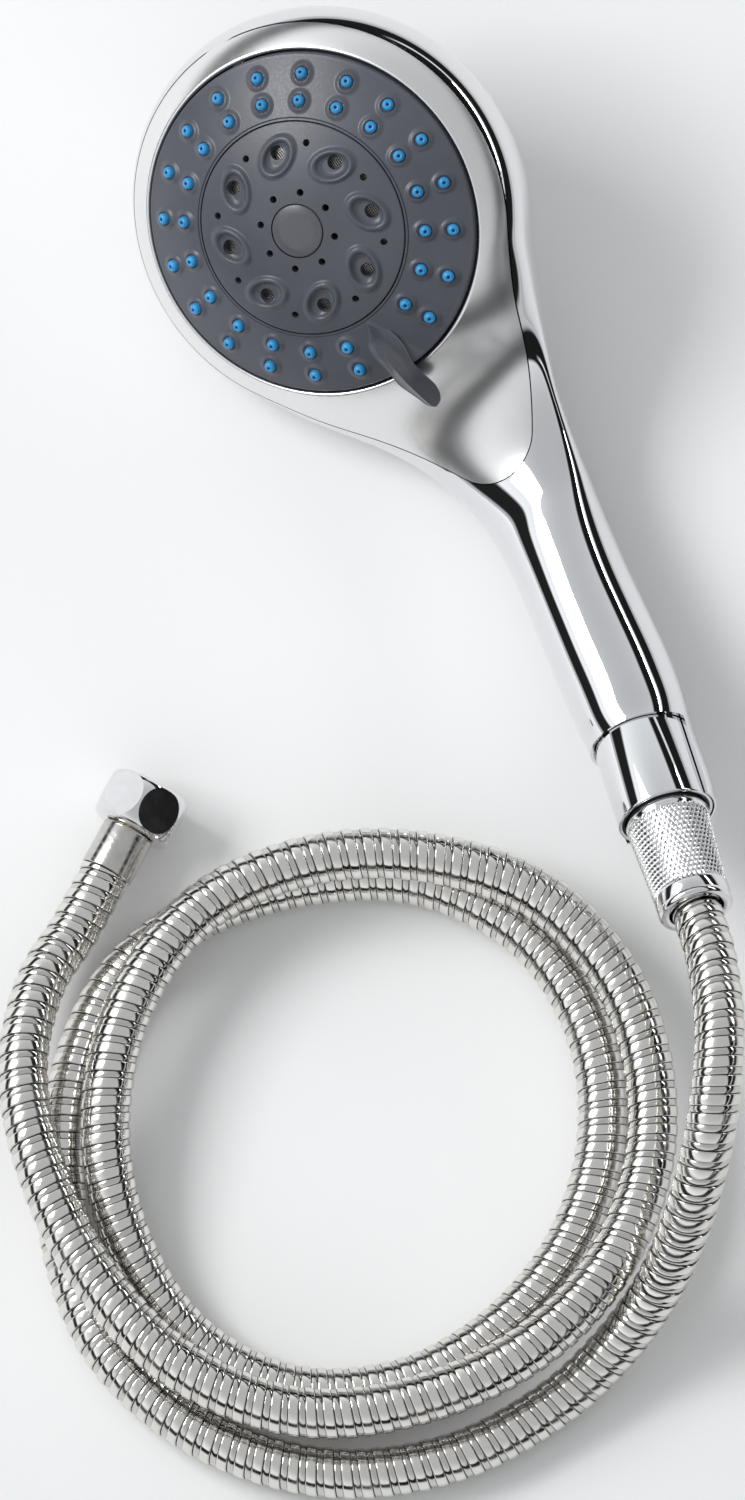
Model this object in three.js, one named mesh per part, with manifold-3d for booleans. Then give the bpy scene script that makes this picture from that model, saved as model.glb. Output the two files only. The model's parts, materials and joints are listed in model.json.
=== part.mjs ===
// A handheld shower head with a turning spray face, on its metal hose.
// Lengths are in millimetres and angles in degrees, +Z is up, and the handset lies on the plane z = 0.
// The handset is drawn in a frame of its own: the origin is the middle of the spray face's rim, +Z is the way
// the water leaves, and the handle runs towards -Y. Outlines along the handset give the distance s = -y.
import * as THREE from "three";
import { mergeVertices } from "three/addons/utils/BufferGeometryUtils.js";
import Module from "manifold-3d";

const wasm = await Module();
wasm.setup();

// ---------- Driving dimensions ----------
const gap = 0.3; // between pieces that touch
const runningGap = 0.4; // between pieces that turn in each other

// Handset lying on its back, leaning on its left side
const layPitch = 10;
const layRoll = 31.6;

// Shell
const faceRadius = 47.4;
const faceOpening = faceRadius + runningGap;
const headRadius = 57;
const headFrontHeight = 24; // of the half ellipsoid that the front of the head is cut from
const openingRise = 0.074; // of the head's surface over the face's rim, at the opening
const headCentreZ = openingRise - headFrontHeight * Math.sqrt(1 - (faceOpening / headRadius) ** 2);
const headBackHeight = 28;
const headBackPower = 2.4; // the back is fuller than an ellipse, whose power is 2
const backRoundStart = 45; // from here to backRoundEnd the back turns into an ellipse
const backRoundEnd = 74;
const shellWall = 2.2;
const seamRadius = 54.5; // round part of the front cover's outline
const seamTipRadius = 15;
const coverLength = 87.4; // from the middle of the face to the cover's tip
const coverFloorZ = -12; // how deep the cover's round part may reach
const coverTailFloors = [[46, -19], [60, -24]]; // and from these places down the handle
const openingWall = 1.8; // round the cover's opening
const openingWallDepth = 7.4;
const openingWallSink = 1.67; // its top is this far below the cover's surface

// Handle, as sections across it: s and z of the middle, tilt, half width, height in front, height behind
const headLoftEnd = 30; // the head's round sections end here
const handleSections = [
  [38, -13.5, 0, 43.3, 18.4, 27],
  [45, -15, 0, 39.5, 16.3, 25.3],
  [50, -16.5, 0, 36.5, 14.2, 23.5],
  [55, -18.3, 0, 33.5, 10.8, 21],
  [60, -20.3, 0, 30.5, 8.8, 18.4],
  [67, -22.3, 0, 26.6, 7.3, 15.8],
  [74, -23.5, 0, 23.3, 7, 14],
  [81, -24.3, 2, 20.8, 7.6, 12.8],
  [88, -24.6, 6, 18.8, 9, 12.4],
  [96, -24, 12, 17.1, 11, 12.8],
  [106.6, -21, 20, 15.8, 13.2, 14],
  [121, -15.6, 22, 15.2, 14.6, 14.8],
  [136.4, -9.5, 22, 15.5, 15.2, 15.2],
  [150, -4, 24, 15.8, 15.4, 15.6],
  [160, 0.8, 28, 15.4, 15, 15.6],
];
const headSectionCount = 9;
const outerPoints = 26; // round each section of the shell
const innerPoints = 14;

// Connection end: an axis from the middle of the collar's rim, with places along it called e
const rimS = 188.9;
const rimZ = 18.8;
const endTilt = 33;
const spigotRadius = 9.7; // pitch circle of a G 1/2 thread
const nutBore = spigotRadius + gap;
const nutTopWall = 1.7;
const nutTopRadius = nutBore + nutTopWall;
const collarRimBore = nutTopRadius + 2 * gap;
const collarRimWall = 1.05;
const collarRadius = collarRimBore + collarRimWall;
const collarLength = 26;
const collarRimDepth = 6;
const endSections = [ // at e: half width, height in front and height behind, all beyond the collar
  [-25, 1.15, 0.75, 1.85],
  [-13, 1.65, 0.85, 1.95],
  [-4, 1.55, 0.85, 1.75],
  [0, 0.95, 0.65, 1.05],
];
const collarLap = 1; // how far the collar reaches under the front of the handle
const tailEdgeHeight = -0.6; // the handle's tail covers the collar below this level

// Face
const domeRadius = 100;
const faceWall = 2.6;
const faceSkirt = 4;
const capRadius = 7.35;
const capSeatDepth = 1.6; // below the middle of the dome, as the next two are
const screwSeatDepth = 4.2;
const centreHubDepth = 6.5;
const centreHubRadius = 10;
const nozzleMargin = 5.3; // from the rim in to the outer ring of nozzles
const nozzleRowPitch = 7;
const nozzleRings = [faceRadius - nozzleMargin, faceRadius - nozzleMargin - nozzleRowPitch];
const centreMargin = 5.45; // from the inner ring of nozzles in to the centre plate
const centreRadius = nozzleRings[1] - centreMargin;
const nozzlePlaces = 20; // the lever takes one place of each ring
const nozzleTurn = 3;
const nozzleRadius = 1.6;
const nozzleStand = 1.6;
const nozzleSides = 4;
const matWall = 1.4;
const matMargin = 2.5; // beyond the nozzles
const eyeCount = 8;
const eyeMargin = 7.65; // from the centre plate's edge in to the eyes
const eyeRing = centreRadius - eyeMargin;
const eyeHoleRadius = 2;
const eyeTurn = 17.5; // turn of the first eye from the head's top, clockwise from the front
const smallHoleRadius = 1;
const smallHoleRings = [centreRadius - 5.35, 10.8];
const smallHoleTurn = -11;
const screenWidth = 7.6;
const screenWall = 0.5;

// Selector lever, a fin along the handle's direction: its side outline as [distance past the rim, z]
const leverWidth = 7.4;
const leverClearance = 0.5;
const leverSide = [
  [-16.8, 5.5], [-14.4, 8.4], [-9.4, 9.6], [-1.4, 8.6], [5.6, 5.8], [11.1, 2.3], [13.4, -1], [13.2, -3.2],
  [11.4, -4.6], [9, -4.6], [6.2, -2.6], [3.4, 0.4], [0.8, 1.6], [-3.4, 1.8], [-11.4, 3.8],
];

// Water engine behind the face
const skirtWall = 2;
const rotorRadius = faceRadius - skirtWall - 0.5;
const rotorTop = -4.5;
const rotorWall = 2;
const rotorHubRadius = 7;
const rotorPorts = 5;
const rotorPortRing = eyeRing;
const rotorPortRadius = 4.5;
const postRadius = 4;
const postBore = 2.6;
const postFlangeRadius = 7;
const postFlangeWall = 3;
const pivotScrewLength = 11;
const postTop = 3.9;
const valveTop = -9.5;
const valveWall = 2.5;
const portRadius = 4.2;
const housingRadius = rotorRadius - 1.4;
const housingWall = 2.4;
const housingTop = -8.7;
const housingBottom = -27;
const ledgeReach = 2.4; // the valve plate rests on this ledge
const ledgeWall = 2;
const socketZ = -24;
const socketWall = 2;
const socketEnd = 52;
const screwCount = 3;
const screwRadius = 1.4;
const screwHeadRadius = 2.8;
const screwLength = 6; // below the housing's ear
const earZ = -20;
const earWall = 2;
const earRadius = 3.6;
const screwRing = housingRadius + earRadius - 0.1;
const pinRadius = 2;
const pinLength = 3.7;
const pinRing = rotorPortRing + 8;
const springTurns = 3;
const springWire = 0.35;
const springLength = 6;

// Waterway
const sealWall = 1.6;
const sealWidth = 2;
const tubeRadius = 6.5;
const tubeBore = 4.5;
const tubeRoute = [
  [44, -24], [54, -24], [64, -25.2], [80, -26.9], [95, -25.2], [108, -20.6], [136, -9.6], [158, -0.8],
];
const spigotBore = 4.5;
const spigotStart = -22;
const spigotEnd = 12;
const spigotSocketDepth = 9;
const limiterRadius = 6.2;
const limiterLength = 4;
const washerWall = 2;
const washerBore = 5.2;

// Conical nut on the hose's near end
const nutTaper = 1.4; // how much its radius shrinks towards the hose
const nutBottomRadius = nutTopRadius - nutTaper;
const nutStart = -1.2;
const nutEnd = 31;
const nutBand = 3;
const nutLip = 0.9;
const flangeRadius = nutBore - 2 * gap;
const flangeWall = 2.4;
const neckRadius = 5.9;
const neckBore = 4.3;
const neckLength = 7;

// Hose and its far end
const hoseRadius = 7;
const hoseSides = 8;
const hoseSteps = 72;
const straight = 6; // between the points just past the nut
const ferruleRadius = 7.35;
const ferruleLength = 13;
const hexMouthRing = 0.9; // flat ring left round the mouth
const hexFlats = 2 * (nutBore + hexMouthRing) + 0.2;
const hexLength = 14;
const hexBackWall = 2.8;
const hexChamfer = 1.6;

// The hose's route once it has left the nut, as points along its middle
const hoseRoute = [
  [-34.3, -165.5, 52], [-39.5, -175, 54.3], [-46.5, -185, 54.6], [-56, -196, 51.5], [-67, -206.5, 44],
  [-79, -215.5, 32.5], [-92.5, -222.5, 20.5], [-109, -227.5, 12], [-129, -230.5, 7.8], [-160, -228, 7],
  [-191, -213, 7], [-214, -185, 7], [-223, -152, 7], [-218, -124, 7], [-204, -99, 7],
  [-185, -79, 7], [-162, -66, 7], [-135, -64, 7], [-106, -72, 7], [-80, -89, 7],
  [-64, -117, 7], [-64, -148, 7], [-78, -176, 7], [-102, -196, 7], [-131, -205, 7],
  [-161, -203, 7], [-187, -188, 7], [-202, -162, 7.5], [-203, -132, 12], [-191, -101, 19],
  [-166, -76, 21.7], [-136, -65, 21.7], [-107, -69, 21.7], [-80, -84, 21.5], [-57, -112, 20],
  [-52, -148, 19], [-67, -184, 19], [-94, -207, 21], [-126, -216, 21.7], [-160, -212, 21.7],
  [-191, -196, 22], [-211, -167, 23], [-216.5, -131, 22.5], [-211, -98, 22], [-200, -74, 20.5],
  [-182, -56.5, 16.4], [-168.7, -50.1, 13.3], [-159.8, -45.5, 12.9], [-151, -40.8, 12.9],
];
const farEndTurn = 28; // the far end's direction from +X

// ---------- Helpers ----------
const rad = THREE.MathUtils.degToRad;
const materials = {
  chrome: () => new THREE.MeshStandardMaterial({ color: 0xd4d6da, metalness: 1, roughness: 0.08 }),
  satinChrome: () => new THREE.MeshStandardMaterial({ color: 0xdcdde0, metalness: 1, roughness: 0.18 }),
  steel: () => new THREE.MeshStandardMaterial({ color: 0xb9b7b2, metalness: 1, roughness: 0.25 }),
  brass: () => new THREE.MeshStandardMaterial({ color: 0xb08d4a, metalness: 1, roughness: 0.35 }),
  greyPlastic: () => new THREE.MeshStandardMaterial({ color: 0x5a5e68, metalness: 0, roughness: 0.5 }),
  blueSilicone: () => new THREE.MeshStandardMaterial({ color: 0x3aa0dc, metalness: 0, roughness: 0.55 }),
  whitePlastic: () => new THREE.MeshStandardMaterial({ color: 0xe4e2dc, metalness: 0, roughness: 0.5 }),
  blackRubber: () => new THREE.MeshStandardMaterial({ color: 0x1b1b1d, metalness: 0, roughness: 0.7 }),
};

function solid(geometry) {
  const bare = new THREE.BufferGeometry();
  bare.setAttribute("position", geometry.getAttribute("position"));
  bare.setIndex(geometry.index);
  const merged = mergeVertices(bare, 1e-4);
  return new wasm.Manifold(new wasm.Mesh({
    numProp: 3,
    vertProperties: merged.attributes.position.array,
    triVerts: new Uint32Array(merged.index.array),
  }));
}

function geometryOf(manifold) {
  const mesh = manifold.getMesh();
  const geometry = new THREE.BufferGeometry();
  geometry.setAttribute("position", new THREE.BufferAttribute(new Float32Array(mesh.vertProperties), 3));
  geometry.setIndex(new THREE.BufferAttribute(new Uint32Array(mesh.triVerts), 1));
  geometry.computeVertexNormals();
  return geometry;
}

const joined = (solids) => solids.reduce((a, b) => a.add(b));

// A body turned about the z axis from an outline of [radius, z] points, anticlockwise seen with z up.
function turned(outline, sides = 24) {
  const points = [...outline, outline[0]].map(([r, z]) => new THREE.Vector2(r, z));
  return new THREE.LatheGeometry(points, sides).rotateX(Math.PI / 2);
}

function ring(inner, outer, bottom, top, sides = 20) {
  if (inner === 0) return rod(outer, bottom, top, sides);
  return turned([[inner, bottom], [outer, bottom], [outer, top], [inner, top]], sides);
}

function rod(radius, bottom, top, sides = 20) {
  return new THREE.CylinderGeometry(radius, radius, top - bottom, sides)
    .rotateX(Math.PI / 2)
    .translate(0, 0, (top + bottom) / 2);
}

function piece(name, geometry, material) {
  const mesh = new THREE.Mesh(geometry, materials[material]());
  mesh.name = name;
  return mesh;
}

// A closed body through a list of closed sections, each a list of points in the same order.
function loft(sections, closeStart, closeEnd) {
  const count = sections[0].length;
  const points = sections.flat();
  const index = [];
  for (let i = 0; i + 1 < sections.length; i += 1) {
    for (let j = 0; j < count; j += 1) {
      const a = i * count + j;
      const b = i * count + ((j + 1) % count);
      index.push(a, b, a + count, b, b + count, a + count);
    }
  }
  const first = points.length;
  points.push(closeStart, closeEnd);
  const last = (sections.length - 1) * count;
  for (let j = 0; j < count; j += 1) {
    const k = (j + 1) % count;
    index.push(first, k, j);
    index.push(first + 1, last + j, last + k);
  }
  const geometry = new THREE.BufferGeometry().setFromPoints(points);
  geometry.setIndex(index);
  return geometry;
}

// ---------- The shell's form ----------
// Place on the connection end's axis, e past the collar's rim, in the handset's frame.
const endDirection = new THREE.Vector3(0, -Math.cos(rad(endTilt)), Math.sin(rad(endTilt)));
const rimCentre = new THREE.Vector3(0, -rimS, rimZ);
const onEndAxis = (e) => rimCentre.clone().addScaledVector(endDirection, e);

// How full the back is at s: the power of its curve.
function backPower(s) {
  const share = THREE.MathUtils.clamp((s - backRoundStart) / (backRoundEnd - backRoundStart), 0, 1);
  return THREE.MathUtils.lerp(headBackPower, 2, share);
}

// One section across the body: a half ellipse in front and a fuller half behind.
function section([s, z, tilt, halfWidth, front, back], inset, count) {
  const forward = new THREE.Vector3(0, Math.sin(rad(tilt)), Math.cos(rad(tilt)));
  return Array.from({ length: count }, (_, i) => {
    const angle = (2 * Math.PI * i) / count;
    const behind = Math.sin(angle) < 0;
    const bend = behind ? 2 / backPower(s) : 1;
    const across = Math.sign(Math.cos(angle)) * Math.abs(Math.cos(angle)) ** bend;
    const up = Math.sign(Math.sin(angle)) * Math.abs(Math.sin(angle)) ** bend;
    return new THREE.Vector3((halfWidth - inset) * across, -s, z)
      .addScaledVector(forward, ((behind ? back : front) - inset) * up);
  });
}

// The round head's sections, spaced evenly round its outline from the top.
function headSections(inset, count) {
  const radius = headRadius - inset;
  const last = Math.acos(-headLoftEnd / radius);
  return Array.from({ length: headSectionCount }, (_, i) => {
    const angle = (last * (i + 0.5)) / (headSectionCount - 0.5);
    const share = Math.sin(angle);
    const s = -radius * Math.cos(angle);
    // Towards the neck the back stays deep.
    const backShare = s > 0 ? 1 : (1 - Math.abs(Math.cos(angle)) ** headBackPower) ** (1 / headBackPower);
    return section([s, headCentreZ, 0, radius * share, (headFrontHeight - inset) * share,
      (headBackHeight - inset) * backShare], 0, count);
  });
}

function connectionSections(inset, count) {
  return endSections.map(([e, ...beyond]) => {
    const middle = onEndAxis(e);
    const sizes = beyond.map((size) => collarRadius + size);
    return section([-middle.y, middle.z, endTilt, ...sizes], inset, count);
  });
}

// The whole outer form, or the hollow inside it when inset is the wall.
function bodyForm(inset) {
  const count = inset > 0 ? innerPoints : outerPoints;
  const sections = [...headSections(inset, count), ...handleSections.map((row) => section(row, inset, count)),
    ...connectionSections(inset, count)];
  const top = new THREE.Vector3(0, headRadius - inset, headCentreZ);
  if (inset > 0) {
    const beyond = sections.at(-1).map((p) => p.clone().addScaledVector(endDirection, 5));
    sections.push(beyond);
  }
  const end = onEndAxis(inset > 0 ? 5 : 0);
  return solid(loft(sections, top, end));
}

// The connection's own frame: +z runs out along its axis from the middle of the collar's rim.
const connection = new THREE.Group();
connection.position.copy(rimCentre);
connection.rotation.x = rad(90 - endTilt);
connection.updateMatrix();
const atEnd = (geometry) => geometry.clone().applyMatrix4(connection.matrix);

// Front cover's outline from the front: a big circle, the tip's circle, and straight flanks between them.
function coverOutline(grow) {
  const tipY = coverLength - seamTipRadius;
  const lean = Math.asin((seamRadius - seamTipRadius) / tipY);
  const outline = new THREE.Shape();
  outline.absarc(0, 0, seamRadius + grow, -lean, Math.PI + lean, false);
  outline.absarc(0, -tipY, seamTipRadius + grow, Math.PI + lean, 2 * Math.PI - lean, false);
  return outline;
}

// The room that the front cover takes; grow leaves the joint line round it.
function coverRoom(grow) {
  const top = 30;
  const outline = coverOutline(grow);
  const above = (floor) =>
    new THREE.ExtrudeGeometry(outline, { depth: top - floor, bevelEnabled: false, curveSegments: 16 })
      .translate(0, 0, floor - grow);
  const tails = coverTailFloors.map(([start, floor]) => {
    const beyond = new THREE.BoxGeometry(2 * headRadius, coverLength - start + 10, 80)
      .translate(0, -(coverLength + start + 10) / 2 + grow, 0);
    return solid(above(floor)).intersect(solid(beyond));
  });
  return joined([solid(above(coverFloorZ)), ...tails]);
}

// ---------- Pieces of the shell ----------
function screwPlaces() {
  return Array.from({ length: screwCount }, (_, i) => {
    const angle = Math.PI / 2 + (2 * Math.PI * i) / screwCount;
    return [screwRing * Math.cos(angle), screwRing * Math.sin(angle)];
  });
}

function rearShell(outer, skin) {
  const bossTop = earZ - gap;
  const bosses = screwPlaces().map(([x, y]) =>
    solid(rod(screwRadius + 2, -40, bossTop, 12).translate(x, y, 0)).intersect(outer));
  const bossHoles = screwPlaces().map(([x, y]) =>
    solid(rod(screwRadius + gap, earZ - screwLength - gap, bossTop + 1, 8).translate(x, y, 0)));
  const collarSeat = solid(atEnd(rod(collarRadius + gap, -collarLength - gap, 6, 36)));
  const overCollar = solid(atEnd(
    new THREE.BoxGeometry(60, 60, collarLength - collarLap + 20)
      .translate(0, 30 + tailEdgeHeight, (collarLength - collarLap + 20) / 2 - collarLength + collarLap)));
  return joined([skin, ...bosses])
    .subtract(joined(bossHoles))
    .subtract(coverRoom(gap))
    .subtract(collarSeat)
    .subtract(overCollar);
}

// The ring-shaped room that the lever's overhang sweeps through, down to a clearance below it.
function leverRoom() {
  const top = 30;
  const tip = leverSide.findIndex(([past]) => past === Math.max(...leverSide.map(([p]) => p)));
  const under = leverSide.slice(tip + 1).filter(([past]) => past > -5)
    .map(([past, z]) => [faceRadius + past + leverClearance, z - leverClearance]);
  const [outermost] = under[0];
  const [innermost] = under.at(-1);
  return solid(turned([...under.reverse(), [outermost, top], [innermost, top]], 48));
}

// The cover has a short wall round its opening, which hangs from its skin.
function frontCover(skin) {
  const wallTop = openingRise - openingWallSink;
  const wallBottom = wallTop - openingWallDepth;
  const wall = solid(ring(faceOpening, faceOpening + openingWall, wallBottom, wallTop, 32));
  const opening = solid(rod(faceOpening, wallBottom + 0.1, 40, 32));
  return skin.intersect(coverRoom(0)).add(wall).subtract(opening).subtract(leverRoom());
}

function endCollar() {
  return solid(turned([
    [spigotRadius + gap, -collarLength], [collarRadius, -collarLength], [collarRadius, -0.7],
    [collarRadius - 0.7, 0], [collarRimBore, 0], [collarRimBore, -collarRimDepth],
    [spigotRadius + gap, -collarRimDepth]], 36));
}

// ---------- Pieces of the face ----------
const domeDrop = Math.sqrt(domeRadius ** 2 - faceRadius ** 2);
const domeZ = (r) => Math.sqrt(domeRadius ** 2 - r ** 2) - domeDrop;
const domeLine = (from, to, steps, below) =>
  Array.from({ length: steps + 1 }, (_, i) => {
    const r = from + ((to - from) * i) / steps;
    return [r, domeZ(r) - below];
  });

// A rod along the dome's normal at radius r and angle turn, from below to above the surface.
function domeRod(r, angle, radius, below, above, sides) {
  const lean = Math.asin(r / domeRadius);
  return rod(radius, -below, above, sides)
    .translate(0, 0, domeRadius)
    .rotateY(lean)
    .translate(0, 0, -domeDrop)
    .rotateZ(angle);
}

const nozzleAngles = Array.from({ length: nozzlePlaces - 1 }, (_, i) =>
  -Math.PI / 2 + rad(nozzleTurn) + (2 * Math.PI * (i + 1)) / nozzlePlaces);

function nozzles(radius, below, above) {
  return nozzleRings.flatMap((r) =>
    nozzleAngles.map((angle) => solid(domeRod(r, angle, radius, below, above, nozzleSides))));
}

function lever() {
  const places = leverSide.map(([past]) => faceRadius + past);
  const side = new THREE.Shape(leverSide.map(([past, z]) => new THREE.Vector2(faceRadius + past, z)));
  const fin = new THREE.ExtrudeGeometry(side, { depth: leverWidth, bevelEnabled: false })
    .translate(0, 0, -leverWidth / 2)
    .applyMatrix4(new THREE.Matrix4().makeBasis(
      new THREE.Vector3(0, -1, 0), new THREE.Vector3(0, 0, 1), new THREE.Vector3(-1, 0, 0)));
  const from = places[0] - 0.5;
  const to = Math.max(...places) + 0.5;
  const middle = (from + to) / 2;
  const leaf = new THREE.CylinderGeometry(1, 1, 40, 20)
    .rotateX(Math.PI / 2)
    .scale(leverWidth / 2 + 0.1, (to - from) / 2 + 1.5, 1)
    .translate(0, -middle, 0);
  return solid(fin).intersect(solid(leaf));
}

function sprayRing() {
  const inner = centreRadius + gap;
  const skirtInner = faceRadius - skirtWall;
  const plate = turned([
    ...domeLine(inner, skirtInner, 2, faceWall), [skirtInner, -faceSkirt], [faceRadius, -faceSkirt],
    ...domeLine(faceRadius, inner, 3, 0)]);
  return solid(plate).add(lever()).subtract(joined(nozzles(nozzleRadius + 0.5, 8, 6)));
}

function nozzleMat() {
  const matOuter = nozzleRings[0] + matMargin;
  const matInner = nozzleRings.at(-1) - nozzleRadius - matMargin;
  const top = faceWall + gap;
  const sheet = turned([
    ...domeLine(matInner, matOuter, 2, top + matWall),
    ...domeLine(matOuter, matInner, 2, top),
  ]);
  return solid(sheet).add(joined(nozzles(nozzleRadius, top + 0.7, nozzleStand)));
}

const eyeAngle = (i) => Math.PI / 2 - rad(eyeTurn) + (2 * Math.PI * i) / eyeCount;

function sprayCentre() {
  const capSeat = domeZ(0) - capSeatDepth;
  const headSeat = domeZ(0) - screwSeatDepth;
  const hubBottom = domeZ(0) - centreHubDepth;
  const screwSeatRadius = screwHeadRadius + 1.2;
  const plate = turned([
    [postBore, hubBottom], [centreHubRadius, hubBottom],
    ...domeLine(centreHubRadius + 1, centreRadius, 2, faceWall),
    ...domeLine(centreRadius, capRadius + gap, 3, 0),
    [capRadius + gap, capSeat], [screwSeatRadius, capSeat], [screwSeatRadius, headSeat],
    [postBore, headSeat]]);
  const holes = Array.from({ length: eyeCount }, (_, i) => [
    domeRod(eyeRing, eyeAngle(i), eyeHoleRadius, 6, 4, 6),
    ...smallHoleRings.map((r) => domeRod(r, eyeAngle(i) + rad(smallHoleTurn * 2), smallHoleRadius, 8, 4, 4)),
  ]).flat();
  return solid(plate).subtract(joined(holes.map(solid)));
}

function meshScreen() {
  const inner = eyeRing - screenWidth / 2;
  const outer = eyeRing + screenWidth / 2;
  const top = faceWall + gap;
  return turned([...domeLine(inner, outer, 2, top + screenWall), ...domeLine(outer, inner, 2, top)]);
}

function centreCap() {
  const bottom = domeZ(0) - capSeatDepth + gap;
  return turned([[0, bottom], [capRadius, bottom], [capRadius, domeZ(capRadius)],
    [capRadius - 1, domeZ(0) + 0.2], [0, domeZ(0) + 0.4]]);
}

function pivotScrew() {
  const seat = domeZ(0) - screwSeatDepth + gap;
  const end = seat - pivotScrewLength;
  const shaft = postBore - runningGap - 0.1;
  const head = screwHeadRadius + 0.7;
  return turned([[0, end], [shaft, end], [shaft, seat], [head, seat], [head, seat + 1.6],
    [head - 0.9, seat + 2.1], [0, seat + 2.1]], 16);
}

// ---------- Pieces of the water engine ----------
const rotorBottom = rotorTop - rotorWall;
const valveBottom = valveTop - valveWall;
const valveRadius = housingRadius - housingWall - 2 * gap;

function sprayRotor() {
  const hub = ring(postRadius + runningGap, rotorHubRadius, rotorBottom, postTop, 16);
  const plate = ring(postRadius + runningGap, rotorRadius, rotorBottom, rotorTop, 30);
  const ports = Array.from({ length: rotorPorts }, (_, i) => {
    const angle = Math.PI / 2 + (2 * Math.PI * i) / rotorPorts;
    return solid(rod(rotorPortRadius, rotorBottom - 1, rotorTop + 1, 8)
      .translate(rotorPortRing * Math.cos(angle), rotorPortRing * Math.sin(angle), 0));
  });
  return solid(hub).add(solid(plate)).subtract(joined(ports));
}

function pivotPost() {
  const shoulder = valveBottom - gap;
  const bottom = shoulder - postFlangeWall;
  return turned([[postBore, bottom], [postFlangeRadius, bottom], [postFlangeRadius, shoulder],
    [postRadius, shoulder], [postRadius, postTop], [postBore, postTop]], 24);
}

const faceSeal = () =>
  ring(housingRadius - housingWall + gap, housingRadius - gap, housingTop + gap, rotorBottom - gap, 24);

function valvePlate() {
  const cupRadius = pinRadius + gap + 1.4;
  const cupBottom = valveBottom - springLength;
  const plate = ring(postRadius + gap, valveRadius, valveBottom, valveTop, 24);
  const cup = rod(cupRadius, cupBottom - 1, valveTop, 12).translate(pinRing, 0, 0);
  const pinHole = rod(pinRadius + gap, cupBottom, valveTop + 1, 12).translate(pinRing, 0, 0);
  const port = rod(portRadius, valveBottom - 1, valveTop + 1, 12).translate(0, rotorPortRing, 0);
  return solid(plate).add(solid(cup)).subtract(solid(pinHole)).subtract(solid(port));
}

function engineHousing() {
  const inside = housingRadius - housingWall;
  const pot = solid(turned([
    [0, housingBottom], [housingRadius - 3, housingBottom], [housingRadius, housingBottom + 3],
    [housingRadius, housingTop], [inside, housingTop], [inside, housingBottom + housingWall + 1],
    [inside - 2, housingBottom + housingWall], [0, housingBottom + housingWall]]));
  const socketRadius = tubeRadius + gap + socketWall;
  const socket = rod(socketRadius, 30, socketEnd, 20).rotateX(Math.PI / 2).translate(0, 0, socketZ);
  const insideCut = rod(tubeRadius + gap, 20, socketEnd + 1, 20)
    .rotateX(Math.PI / 2)
    .translate(0, 0, socketZ);
  const hollow = solid(rod(inside, housingBottom + housingWall, housingTop + 1, 36));
  const ears = screwPlaces().map(([x, y]) => {
    const web = new THREE.BoxGeometry(2 * earRadius, 10, earWall)
      .translate(0, screwRing - 5, earZ + earWall / 2)
      .rotateZ(Math.atan2(y, x) - Math.PI / 2);
    return solid(rod(earRadius, earZ, earZ + earWall, 12).translate(x, y, 0))
      .add(solid(web))
      .subtract(solid(rod(screwRadius + gap, earZ - 1, earZ + earWall + 1, 8).translate(x, y, 0)));
  });
  const ledgeTop = valveBottom - gap;
  const ledge = solid(ring(inside - ledgeReach, inside + 0.5, ledgeTop - ledgeWall, ledgeTop, 36));
  return joined([pot, solid(socket).subtract(hollow), ...ears.map((ear) => ear.subtract(hollow))])
    .subtract(solid(insideCut))
    .add(ledge);
}

function housingScrew([x, y]) {
  const seat = earZ + earWall + gap;
  const end = earZ - screwLength;
  return turned([[0, end], [screwRadius, end], [screwRadius, seat], [screwHeadRadius, seat],
    [screwHeadRadius, seat + 1.4], [screwHeadRadius - 1, seat + 2], [0, seat + 2]], 12).translate(x, y, 0);
}

function detentPin() {
  const top = rotorBottom - gap;
  return turned([[0, top - pinLength], [pinRadius, top - pinLength], [pinRadius, top - 1.2],
    [pinRadius - 0.7, top - 0.3], [0, top]], 12).translate(pinRing, 0, 0);
}

class SpringCurve extends THREE.Curve {
  constructor(radius, bottom, top, turns) {
    super();
    Object.assign(this, { radius, bottom, top, turns });
  }

  getPoint(t) {
    const angle = 2 * Math.PI * this.turns * t;
    return new THREE.Vector3(this.radius * Math.cos(angle), this.radius * Math.sin(angle),
      this.bottom + (this.top - this.bottom) * t);
  }
}

function detentSpring() {
  const top = rotorBottom - gap - pinLength - gap - springWire;
  const bottom = valveBottom - springLength + gap + springWire;
  const curve = new SpringCurve(pinRadius - springWire - 0.2, bottom, top, springTurns);
  return along(curve, springWire, 4, springTurns * 8).translate(pinRing, 0, 0);
}

// ---------- Pieces on the waterway ----------
function circleShape(radius, sides) {
  return new THREE.Shape(Array.from({ length: sides }, (_, i) => {
    const angle = (2 * Math.PI * i) / sides;
    return new THREE.Vector2(radius * Math.cos(angle), radius * Math.sin(angle));
  }));
}

function along(curve, radius, sides, steps) {
  const shape = circleShape(radius, sides);
  return new THREE.ExtrudeGeometry(shape, { steps, extrudePath: curve, bevelEnabled: false });
}

// The same route, run a little past both ends, so that the bore is open.
function alongBeyond(points, radius, sides, steps) {
  const first = points[0].clone().multiplyScalar(2).sub(points[1]).lerp(points[0], 0.8);
  const last = points.at(-1).clone().multiplyScalar(2).sub(points.at(-2)).lerp(points.at(-1), 0.8);
  const curve = new THREE.CatmullRomCurve3([first, ...points, last], false, "centripetal");
  return along(curve, radius, sides, steps + 2);
}

function waterwayTube() {
  const points = tubeRoute.map(([s, z]) => new THREE.Vector3(0, -s, z));
  const lastE = spigotStart + spigotSocketDepth - gap;
  points.push(onEndAxis(spigotStart - 4), onEndAxis(lastE));
  const curve = new THREE.CatmullRomCurve3(points, false, "centripetal");
  return solid(along(curve, tubeRadius, 10, 12)).subtract(solid(alongBeyond(points, tubeBore, 8, 12)));
}

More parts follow.
